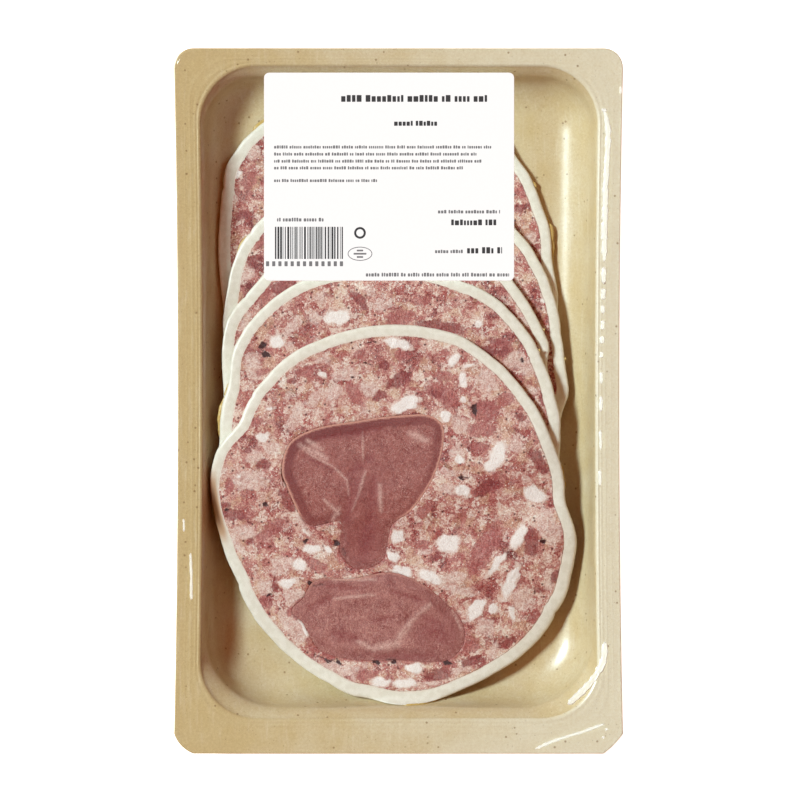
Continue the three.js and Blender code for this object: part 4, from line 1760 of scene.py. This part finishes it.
LOWER_CUT = TongueCut(
    "tongue_cut_lower", "tongue_lower",
    (
        (-36.4, -71.7), (-32.5, -67.3), (-28.6, -61.4), (-15.1, -60.6), (-2.2, -58.5),
        (8.7, -62.9), (16.5, -69.4), (21.8, -75.8), (21.8, -83.6), (16.5, -88.4), (2.2, -88.4),
        (-17.2, -87.9), (-27, -84.7), (-32.5, -75.8),
    ),
    TongueMeat("tongue_lower_finish", 0.45, 62, 1.6, (132, 68, 67), (180, 122, 114), 0.1),
    0.4, (-60, 0.35),
    (
        (
            (-27.0, -56.5, -21.5, -60.8, 0.9), (-21.5, -60.8, -8.0, -60.8, 0.6),
            (10.7, -69.4, 4.6, -74.8, 1.0), (4.6, -74.8, -0.9, -82.3, 1.2),
            (-8.0, -84.0, 0.0, -83.0, 1.4), (-22.0, -67.5, -8.0, -66.0, 0.6),
            (-14.0, -82.0, -8.0, -85.0, 1.0), (18.5, -71.5, 21.3, -78.0, 0.4),
        ),
        (
            (10.5, -78.5, 15.5, -80.5, 6.0), (8.0, -73.5, 14.0, -76.0, 2.0),
            (-22.0, -79.5, -14.5, -81.0, 2.0), (-30.0, -70.5, -24.0, -67.5, 1.6),
            (-24.0, -63.2, -14.0, -64.0, 1.1), (-9.0, -75.0, -2.5, -74.0, 1.2),
            (-8.0, -87.5, 12.0, -87.0, 1.0), (-2.0, -65.0, 8.0, -68.0, 1.0),
        ),
        ((-31.0, -62.3, -30.0, -62.0, 0.7), (-29.0, -63.0, -25.5, -62.4, 0.25),
         (-25.5, -87.0, -22.5, -87.6, 0.6), (-4.0, -88.6, -1.0, -88.3, 0.7)),
    ),
    (
        (-10.0, -74.0, 13.0, 8.0, 0), (0.0, -82.0, 8.0, 4.0, 0), (-26.0, -74.0, 6.0, 5.0, 0),
        (15.0, -83.5, 4.0, 3.0, 0),
    ),
    -68.0,
)


@dataclass(frozen=True)
class RouladeSlice:
    """One slice: meat inside a rind with a rounded rim.

    Attributes:
        order: How many slices lie below it.
        filling: The larger pieces in its meat.
        finish: Its material.
        cuts: The tongue that shows in it.
        spacing: Distance between the points of its meat.
        recess: How far the meat's mean level lies below the rind.
        section: How far inside the rind's edge, and height, of the rings round its outside.
        groove: How far inside the rind's inner edge, and drop, of the rings down to the meat.
    """

    order: int
    filling: Filling
    finish: RouladeMeat
    cuts: tuple[TongueCut, ...] = ()
    spacing: float = 1.1
    rim_points: int = 360
    recess: float = 0.14
    section: tuple[Place, ...] = (
        (0.25, 0.25), (0.0, 0.9), (0.0, 1.9), (0.1, 2.4), (0.35, 2.68), (0.8, 2.84), (1.5, 2.9),
        (2.3, 2.9),
    )
    groove: tuple[Place, ...] = ((-0.75, 0.02), (-0.15, 0.08), (0.3, 0.16))

    @staticmethod
    def crack(loop: Array) -> Array:
        """How far the meat has come away from the upper cut, along its left side."""
        x, y = loop.T
        return 0.32 * hill(y, -26.0, 3.2) * hill(x, -39.0, 3.0)

    def marks(self, shape: SliceShape, x: Array, y: Array) -> dict[str, Array]:
        """What the material reads at each point.

        Args:
            shape: The slice's outline.
            x: Places across.
            y: Places along.

        Returns:
            The marks of fat and lean, how deep in the rind a place lies, and the weight of the
            painted shade on the rind's outer edge.
        """
        wander = 0.7 * Unevenness(41, 2.2).at(x, y), 0.7 * Unevenness(42, 2.2).at(x, y)
        found = {name: np.zeros((len(x), 4)) for name in ("fat_marks", "lean_marks")}
        for tone, blobs in self.filling.items():
            channel = found[tone.mark][:, tone.channel]
            for blob in blobs:
                np.maximum(channel, blob_weight(blob, x + wander[0], y + wander[1]), out=channel)
        for cut in self.cuts:
            near = 1 - smoothstep(loop_distance(cut.outline(), np.column_stack([x, y])) / 2.2)
            bare = 1 - smoothstep((y - cut.skin_end) / 5)
            np.maximum(found["lean_marks"][:, 0], 0.75 * near * bare, out=found["lean_marks"][:, 0])
        degrees, away = shape.polar(x, y)
        inwards = shape.fine_radius(degrees) - away
        depth = np.clip(shape.rind_width(degrees) - inwards, -3, 4)
        # Painted shade: its weight grows towards the rind's outer edge in the directions listed for
        # it.
        shade = np.clip(shape.bumps(shape.painted_shades, degrees), 0, 1) * smoothstep((depth + 0.3) / 2.4)
        return found | {"rind_depth": depth, "rind_shade": shade}

    def meat_relief(self, x: Array, y: Array, holes: Sequence[Array]) -> Array:
        """How far the meat stands above its mean level.

        Args:
            x: Places across.
            y: Places along.
            holes: Where the cuts of tongue run through it.

        Returns:
            One rise for each place.
        """
        rough = 0.1 * Unevenness(43, 3.4).at(x, y) + 0.06 * Unevenness(44, 1.3).at(x, y)
        for tone, blobs in self.filling.items():
            weight = np.zeros_like(x)
            for blob in blobs:
                np.maximum(weight, blob_weight(blob, x, y), out=weight)
            rough += tone.rise * weight
        for hole in holes:
            rough -= 0.06 * hill(loop_distance(hole, np.column_stack([x, y])), 0.0, 0.5)
        return rough

    def build(self, stack: Stack) -> None:
        """Makes the slice and its cuts of tongue, and puts them on the body.

        Args:
            stack: The stack that it lies in.
        """
        shape = stack.shapes[self.order]
        bottom, crown = stack.level(self.order, 0.0), stack.level(self.order, SLICE_THICKNESS)

        def meat(x: Array, y: Array) -> Array:
            """Mean height of the meat's top."""
            return crown(x, y) - self.recess

        degrees = shape.directions(self.rim_points)
        width = shape.rind_width(degrees)
        mesh = MeshSketch()
        under = shape.loop(degrees, 0.9)
        rims = [mesh.add(under, bottom(*under.T))]
        for inset, height in self.section:
            plan = shape.loop(degrees, inset * width / shape.rind)
            low, high = bottom(*plan.T), crown(*plan.T)
            rims.append(mesh.add(plan, low + (high - low) * height / SLICE_THICKNESS))
        for inset, drop in self.groove:
            plan = shape.loop(degrees, width + inset)
            rims.append(mesh.add(plan, crown(*plan.T) - drop))
        for low, high in zip(rims, rims[1:]):
            mesh.band(low, high)
        inner = shape.loop(degrees, width + self.groove[-1][0])
        holes = [cut.hole(self.crack) for cut in self.cuts]
        points, faces = fill_region(inner, holes, self.spacing)
        edge = smoothstep(loop_distance(inner, points) / 1.2)
        heights = meat(*points.T) + self.meat_relief(*points.T, holes) * edge
        upper = [mesh.add(hole, meat(*hole.T) - 0.04) for hole in holes]
        filled = mesh.add(points, heights)
        mesh.region(np.concatenate([rims[-1], *upper, filled]), faces)
        lower = [mesh.add(hole, bottom(*hole.T)) for hole in holes]
        for top_loop, bottom_loop in zip(upper, lower):
            mesh.band(top_loop, bottom_loop)
        points, faces = fill_region(under, holes, 5.0)
        filled = mesh.add(points, bottom(*points.T))
        mesh.region(np.concatenate([rims[0], *lower, filled]), faces, upwards=False)
        plan = mesh.points()[:, :2]
        piece = mesh.build(
            f"roulade_slice_{self.order + 1}", self.finish.build(), self.marks(shape, *plan.T)
        )
        settle(piece, "meat", f"slice_{self.order + 1}")
        for cut in self.cuts:
            cut.build(bottom, meat)


@dataclass(frozen=True)
class JellyBits:
    """Strips and beads of jelly that cling to the slices' rims.

    Attributes:
        strips: The slice, the directions between which each runs, its width, and its height
            above the slice's underside.
        steps: Sections of each strip.
    """

    strips: tuple[tuple[int, float, float, float, float], ...] = (
        (0, 29.4, 32.0, 0.9, 1.6), (0, 3.0, 21.0, 0.9, 1.0), (0, 10.5, 17.0, 1.5, 1.3),
        (0, 126.5, 133.0, 1.3, 1.2), (3, 160.5, 174.0, 1.0, 0.9), (3, 155.5, 160.0, 0.7, 1.2),
        (2, 28.2, 28.9, 0.4, 2.3), (3, 33.8, 34.6, 0.4, 2.3), (1, 358.8, 360.0, 0.6, 2.0),
        (4, 272.0, 283.0, 0.6, 0.7), (4, 9.0, 17.0, 0.5, 0.9), (1, 140.0, 146.0, 0.5, 1.0),
    )
    steps: int = 26

    def build(self, stack: Stack) -> None:
        """Makes the jelly as one piece and puts it on the body.

        Args:
            stack: The stack whose slices it clings to.
        """
        mesh = MeshSketch()
        for number, (order, start, end, width, height) in enumerate(self.strips):
            t = np.linspace(0, 1, self.steps)
            along = start + (end - start) * t
            lumpy = 1 + 0.5 * Unevenness(51, 2.2).at(along * 1.1, np.full_like(t, 7.0 * number))
            half = width * lumpy * np.clip(np.sin(math.pi * t), 0.02, 1) ** 0.5 * 0.7
            plan = stack.shapes[order].loop(along, -half * 0.3)
            z = stack.level(order, height)(*plan.T)
            mesh.tube(np.column_stack([plan, z]), half, np.minimum(half, 0.7))
        settle(mesh.build("jelly_bits", MeatJelly().build()), "meat")


# The film and the label


@dataclass(frozen=True)
class Label:
    """The white label, with plain bars where a label has its print.

    Attributes:
        bold_lines: Left end, right end, place along and size of each dark line of print.
        fine_lines: The same, for the grey ones.
        bars: Left end, right end, lower end and upper end of the bar pattern.
        digits: Left end, right end and place along of the row of short bars under it.
        disc: Middle and radius of the ring.
        oval: Middle and radii of the oval.
        stroke_widths: Least and most width of a stroke, as a share of the size.
        stroke_gap: Gap between strokes, as a share of the size.
        word_gap: What a gap between words adds to that.
    """

    centre: Place = (-3.2, 76.2)
    size: Place = (85.0, 70.7)
    corner: float = 1.8
    bottom: float = TRAY_HEIGHT + GAP + FILM_THICKNESS + GAP
    thickness: float = 0.2
    ink_rise: float = 0.03
    bold_lines: tuple[Four, ...] = (
        (-19.5, 30.1, 102.6, 2.7), (-1.5, 13.1, 94.2, 2.0), (17.9, 33.2, 60.5, 2.3),
        (23.3, 35.2, 51.0, 2.5),
    )
    fine_lines: tuple[Four, ...] = (
        (-42.3, 31.5, 86.2, 1.25), (-42.3, 26.5, 83.8, 1.25), (-42.3, 28.6, 81.4, 1.25),
        (-42.3, 22.0, 79.1, 1.25), (-42.3, -7.0, 74.8, 1.25), (-41.3, -25.3, 61.5, 1.5),
        (13.4, 34.5, 64.2, 1.4), (12.4, 21.9, 50.7, 1.4), (-11.1, 37.6, 42.8, 1.5),
    )
    bars: Four = (-42.0, -18.9, 48.2, 59.2)
    digits: tuple[float, float, float] = (-44.5, -19.4, 46.6)
    disc: tuple[float, float, float] = (-13.1, 57.1, 2.0)
    oval: Four = (-13.1, 50.0, 4.2, 2.4)
    stroke_widths: Place = (0.3, 0.62)
    stroke_gap: float = 0.15
    word_gap: float = 0.36

    def outline(self) -> Array:
        """The label's outline.

        Returns:
            Its points in plan, counter-clockwise.
        """
        half = self.size[0] / 2, self.size[1] / 2
        sheet = Rim(
            self.centre, half, self.corner, self.corner, waisted=False, corner_steps=8,
            long_steps=24, short_steps=24,
        )
        return sheet.outline()

    def slab(self, mesh: MeshSketch, outline: Array, low: float, high: float) -> None:
        """Adds a thin flat body.

        Args:
            mesh: The mesh in progress.
            outline: Its convex outline.
            low: Height of its underside.
            high: Height of its top.
        """
        lower, upper = mesh.add(outline, low), mesh.add(outline, high)
        mesh.band(lower, upper)
        mesh.faces.append(tuple(upper.tolist()))
        mesh.faces.append(tuple(lower[::-1].tolist()))

    def bar(self, mesh: MeshSketch, left: float, right: float, low: float, high: float) -> None:
        """Adds one bar of print with small cut corners.

        Args:
            mesh: The print in progress.
            left: Left end.
            right: Right end.
            low: Lower end.
            high: Upper end.
        """
        c = min(0.12, (right - left) / 4, (high - low) / 4)
        outline = np.array([
            (left + c, low), (right - c, low), (right, low + c), (right, high - c),
            (right - c, high), (left + c, high), (left, high - c), (left, low + c),
        ])
        top = self.bottom + self.thickness
        self.slab(mesh, outline, top - 0.02, top + self.ink_rise)

    def words(
        self, mesh: MeshSketch, line: Four,
        draw: np.random.Generator,
    ) -> None:
        """Adds a line of print as bars the length of words.

        Args:
            mesh: The print in progress.
            line: Left end, right end, height on the label and size.
            draw: Where the random lengths come from.
        """
        left, right, y, size = line
        at = left
        while at < right - 0.3:
            for _ in range(draw.integers(2, 9)):
                end = min(at + size * draw.uniform(*self.stroke_widths), right)
                if end - at > 0.2:
                    tall = size * draw.choice((0.36, 0.36, 0.5))
                    self.bar(mesh, at, end, y - size * 0.36, y + tall)
                at = end + self.stroke_gap * size
            at += self.word_gap * size

    def ring(self, mesh: MeshSketch, middle: Place, radii: Place, width: float) -> None:
        """Adds an oval ring of print.

        Args:
            mesh: The print in progress.
            middle: Its middle.
            radii: Its outer radii across and along.
            width: Width of its line.
        """
        top = self.bottom + self.thickness
        turn = np.linspace(0, 2 * math.pi, 40, endpoint=False)
        unit = np.column_stack([np.cos(turn), np.sin(turn)])
        outer = np.array(middle) + unit * np.array(radii)
        inner = np.array(middle) + unit * (np.array(radii) - width)
        loops = [mesh.add(outer, top - 0.02), mesh.add(outer, top + self.ink_rise),
                 mesh.add(inner, top + self.ink_rise), mesh.add(inner, top - 0.02)]
        for low, high in zip(loops, loops[1:] + loops[:1]):
            mesh.band(low, high)

    def build(self) -> None:
        """Makes the label and its print and puts them on the body."""
        outline = self.outline()
        normals = outward_normals(outline)
        top = self.bottom + self.thickness
        mesh = MeshSketch()
        rims = [mesh.add(outline, self.bottom), mesh.add(outline, top - 0.05),
                mesh.add(outline - normals * 0.05, top)]
        for low, high in zip(rims, rims[1:]):
            mesh.band(low, high)
        points, faces = fill_region(outline, [], 6.0)
        upper, lower = mesh.add(points, top), mesh.add(points, self.bottom)
        mesh.region(np.concatenate([rims[-1], upper]), faces)
        mesh.region(np.concatenate([rims[0], lower]), faces, upwards=False)
        paper = mesh.build("label_paper_sheet", CoatedPaper().build(), smooth=False)
        settle(paper, "label_paper", "label")
        draw = np.random.default_rng(61)
        bold, fine = MeshSketch(), MeshSketch()
        for line in self.bold_lines:
            self.words(bold, line, draw)
        for line in self.fine_lines:
            self.words(fine, line, draw)
        left, right, low, high = self.bars
        at = left
        while at < right - 0.2:
            width = draw.choice((0.22, 0.34, 0.5, 0.66))
            self.bar(bold, at, min(at + width, right), low, high)
            at += width + draw.choice((0.24, 0.34, 0.5))
        start, end, y = self.digits
        for x in np.linspace(start, end, 13):
            self.bar(fine, x - 0.55, x + 0.55, y - 0.85, y + 0.85)
        self.ring(bold, self.disc[:2], (self.disc[2],) * 2, 0.75)
        self.ring(fine, self.oval[:2], self.oval[2:], 0.28)
        for offset in (-1.1, 0.0, 1.1):
            self.bar(fine, self.oval[0] - 2.2 + abs(offset), self.oval[0] + 2.2 - abs(offset),
                     self.oval[1] + offset - 0.3, self.oval[1] + offset + 0.3)
        dark = PrintInk("print_dark_finish", (52, 52, 54))
        grey = PrintInk("print_grey_finish", (118, 118, 120))
        prints = [bold.build("label_print_dark", dark.build(), smooth=False),
                  fine.build("label_print_grey", grey.build(), smooth=False)]
        for piece in prints:
            settle(piece, "label_paper")
        for piece in (paper, *prints):
            piece.visible_shadow = False


@dataclass(frozen=True)
class LidFilm:
    """The clear film that is welded to the flange.

    Attributes:
        flange: The edge of the tray.
        label: The label that lies on it.
        label_rise: How far the label holds the film up.
        crinkle_place: Middle of the crinkled corner.
        beads: Half width, half height and route of each weld bead.
    """

    flange: Rim
    label: Label
    setback: float = 0.4
    spacing: float = 1.3
    thickness: float = 0.26
    label_rise: float = 0.24
    crinkle_place: Place = (60.0, -113.0)
    beads: tuple[tuple, ...] = (
        (1.0, 0.4, (69.9, 98.9), (70.8, 95.9), (71.3, 91.1), (71.2, 86.4), (70.8, 80.2),
         (70.3, 71.7), (70.2, 63.2), (70.0, 54.7), (69.9, 47.3)),
        (0.5, 0.3, (69.0, 98.9), (70.9, 98.8)),
        (0.8, 0.34, (69.8, 45.6), (69.7, 39.8)),
        (0.8, 0.34, (69.7, 38.4), (69.6, 34.3)),
        (0.7, 0.3, (69.5, 32.6), (69.5, 29.6)),
        (0.7, 0.3, (69.5, 27.5), (69.4, 24.1)),
        (0.7, 0.26, (69.3, 22.1), (69.3, 19.4)),
        (0.6, 0.24, (69.2, 16.7), (69.1, 14.6)),
        (0.6, 0.22, (69.0, 9.9), (69.0, 5.8)),
        (0.6, 0.22, (68.9, 1.7), (68.8, -3.7)),
        (0.6, 0.2, (68.7, -9.9), (68.6, -16.7)),
        (0.6, 0.2, (68.6, -23.5), (68.5, -28.9)),
        (1.1, 0.4, (70.2, -81.9), (70.0, -86.4), (69.2, -89.8), (67.5, -92.8), (65.1, -95.9),
         (61.7, -99.5), (57.6, -103.2)),
        (0.5, 0.14, (46.4, -118.3), (51.9, -115.9), (57.0, -114.2), (62.1, -112.7), (69.9, -109.8)),
        (0.5, 0.2, (-70.6, -51.7), (-70.4, -67.7)),
        (0.4, 0.25, (75.4, 106.8), (75.5, 104.4)),
        (0.5, 0.25, (70.6, -111.2), (70.9, -112.0)),
        (0.5, 0.25, (69.4, -114.0), (69.8, -114.8)),
        (0.4, 0.2, (-73.0, -40.1), (-72.9, -44.5)),
    )

    def height(self, x: Array, y: Array) -> Array:
        """Height of the film's underside.

        Args:
            x: Places across.
            y: Places along.

        Returns:
            One height for each place.
        """
        base = TRAY_HEIGHT + GAP + 0.02
        half = np.array(self.label.size) / 2
        beyond = np.maximum(np.abs(x - self.label.centre[0]) - half[0],
                            np.abs(y - self.label.centre[1]) - half[1])
        rise = self.label_rise * (1 - smoothstep((beyond + 1.0) / 9))
        ripple = 0.035 * Unevenness(71, 16).at(x, y) + 0.012 * Unevenness(72, 5).at(x, y)
        away = np.hypot(x - self.crinkle_place[0], y - self.crinkle_place[1])
        crinkle = 0.07 * Unevenness(74, 2.6).at(x + y, x - y) * np.exp(-((away / 14) ** 2))
        return base + rise + ripple + np.abs(crinkle)

    def build(self) -> None:
        """Makes the film and puts it on the body."""
        outline = self.flange.outline(self.setback)
        points, faces = fill_region(outline, [], self.spacing)
        plan = np.concatenate([outline, points])
        height = self.height(*plan.T)
        mesh = MeshSketch()
        lower = mesh.add(plan, height)
        upper = mesh.add(plan, height + self.thickness)
        mesh.region(upper, faces)
        mesh.region(lower, faces, upwards=False)
        mesh.band(lower[: len(outline)], upper[: len(outline)])
        pieces = [mesh.build("clear_lid_film", ClearFilm().build()), self.weld()]
        settle(pieces[0], "clear_film", "lid_film")
        settle(pieces[1], "clear_film")
        for piece in pieces:
            piece.visible_shadow = False

    def weld(self) -> bpy.types.Object:
        """Makes the glossy beads where the film is welded and creased.

        Returns:
            All beads as one piece.
        """
        mesh = MeshSketch()
        for width, height, *knots in self.beads:
            places = np.array(knots, float)
            run = np.concatenate([[0], np.cumsum(np.linalg.norm(np.diff(places, axis=0), axis=1))])
            t = np.linspace(0, 1, max(8, int(run[-1] / 0.8)))
            x, y = (np.interp(t * run[-1], run, places[:, i]) for i in (0, 1))
            x = x + 0.12 * Unevenness(75, 1.7).at(y, x * 0.2)
            full = np.clip(np.sin(math.pi * t) * 5, 0.05, 1) ** 0.5
            full *= 1 + 0.35 * Unevenness(76, 1.3).at(x + 3 * y, y)
            z = self.height(x, y) + self.thickness
            mesh.tube(np.column_stack([x, y, z]), width * full, height * full)
        # Their finish mixes in diffuse white, which paints bright glint lines along the beads.
        return mesh.build("film_weld_beads", ClearFilm("weld_gloss_finish", 0.3, 1.0, 0.45).build())


# The studio


@dataclass(frozen=True)
class Studio:
    """A pale floor, one soft light from the left, a soft fill and the camera above.

    Attributes:
        heading: Where the main light stands, in degrees from the pack's right.
        height: How high it stands, in degrees.
        spread: How wide it looks from the pack, in degrees.
        distance: How far above the pack the camera hangs, in metres.
        seen_width: Width that it sees there, in metres.
        centre: The place under the camera.
    """

    heading: float = 158.0
    height: float = 49.5
    spread: float = 12.0
    strength: float = 4.15
    colour: tuple[float, float, float] = (0.775, 0.965, 1.0)
    fill: float = 0.28
    fill_colour: tuple[float, float, float] = (1.0, 0.18, 0.0)
    distance: float = 2.4
    seen_width: float = 0.272
    centre: Place = (0.5, 0.3)
    floor_half: float = 1500.0
    floor_drop: float = 0.05

    def floor(self) -> None:
        """Lays the floor."""
        mesh = MeshSketch()
        corners = np.array([(-1, -1), (1, -1), (1, 1), (-1, 1)], float) * self.floor_half
        mesh.faces.append(tuple(mesh.add(corners, -self.floor_drop).tolist()))
        mesh.build("studio_floor", StudioFloor().build())

    def lights(self) -> None:
        """Hangs the lights."""
        heading, height = math.radians(self.heading), math.radians(self.height)
        towards = Vector((math.cos(heading) * math.cos(height),
                          math.sin(heading) * math.cos(height), math.sin(height)))
        key = bpy.data.lights.new("key_light", "SUN")
        key.energy = self.strength
        key.angle = math.radians(self.spread)
        key.color = self.colour
        lamp = bpy.data.objects.new("key_light", key)
        lamp.rotation_mode = "QUATERNION"
        lamp.rotation_quaternion = (-towards).to_track_quat("-Z", "Y")
        bpy.context.scene.collection.objects.link(lamp)
        world = bpy.data.worlds.new("soft_fill")
        world.use_nodes = True
        background = world.node_tree.nodes["Background"]
        background.inputs["Color"].default_value = (*self.fill_colour, 1.0)
        background.inputs["Strength"].default_value = self.fill
        bpy.context.scene.world = world

    def camera(self) -> None:
        """Sets the camera above the pack."""
        lens = bpy.data.cameras.new("camera")
        lens.type = "PERSP"
        lens.sensor_width = 36.0
        lens.lens = 36.0 * self.distance / self.seen_width
        lens.clip_start, lens.clip_end = 0.1, 10.0
        camera = bpy.data.objects.new("camera", lens)
        x, y = (c * MM for c in self.centre)
        camera.location = (x, y, TRAY_HEIGHT * MM + self.distance)
        bpy.context.scene.collection.objects.link(camera)
        bpy.context.scene.camera = camera
        bpy.context.scene.view_settings.view_transform = "Standard"

    def build(self) -> None:
        """Sets up the whole studio."""
        self.floor()
        self.lights()
        self.camera()


SLICES = (
    RouladeSlice(0, FIRST_FILLING, RouladeMeat("meat_first_finish", (31, 7), -0.2)),
    RouladeSlice(1, SECOND_FILLING, RouladeMeat("meat_second_finish", (53, -19), -0.2)),
    RouladeSlice(2, THIRD_FILLING, RouladeMeat("meat_third_finish", (-37, 41), -0.2)),
    RouladeSlice(3, FOURTH_FILLING, RouladeMeat("meat_fourth_finish", (17, 23), -0.1), spacing=0.9),
    RouladeSlice(4, FRONT_FILLING, RouladeMeat("meat_front_finish", (0, 0), 0.1),
                 (UPPER_CUT, LOWER_CUT), 0.62, 420),
)


def main() -> None:
    """Builds the pack and the studio."""
    logging.basicConfig(level=logging.INFO, format="%(message)s")
    tray = Tray()
    stack = Stack(tray)
    tray.build()
    for roulade_slice in SLICES:
        roulade_slice.build(stack)
    JellyBits().build(stack)
    label = Label()
    LidFilm(tray.flange, label).build()
    label.build()
    Studio().build()


if __name__ == "__main__":
    main()
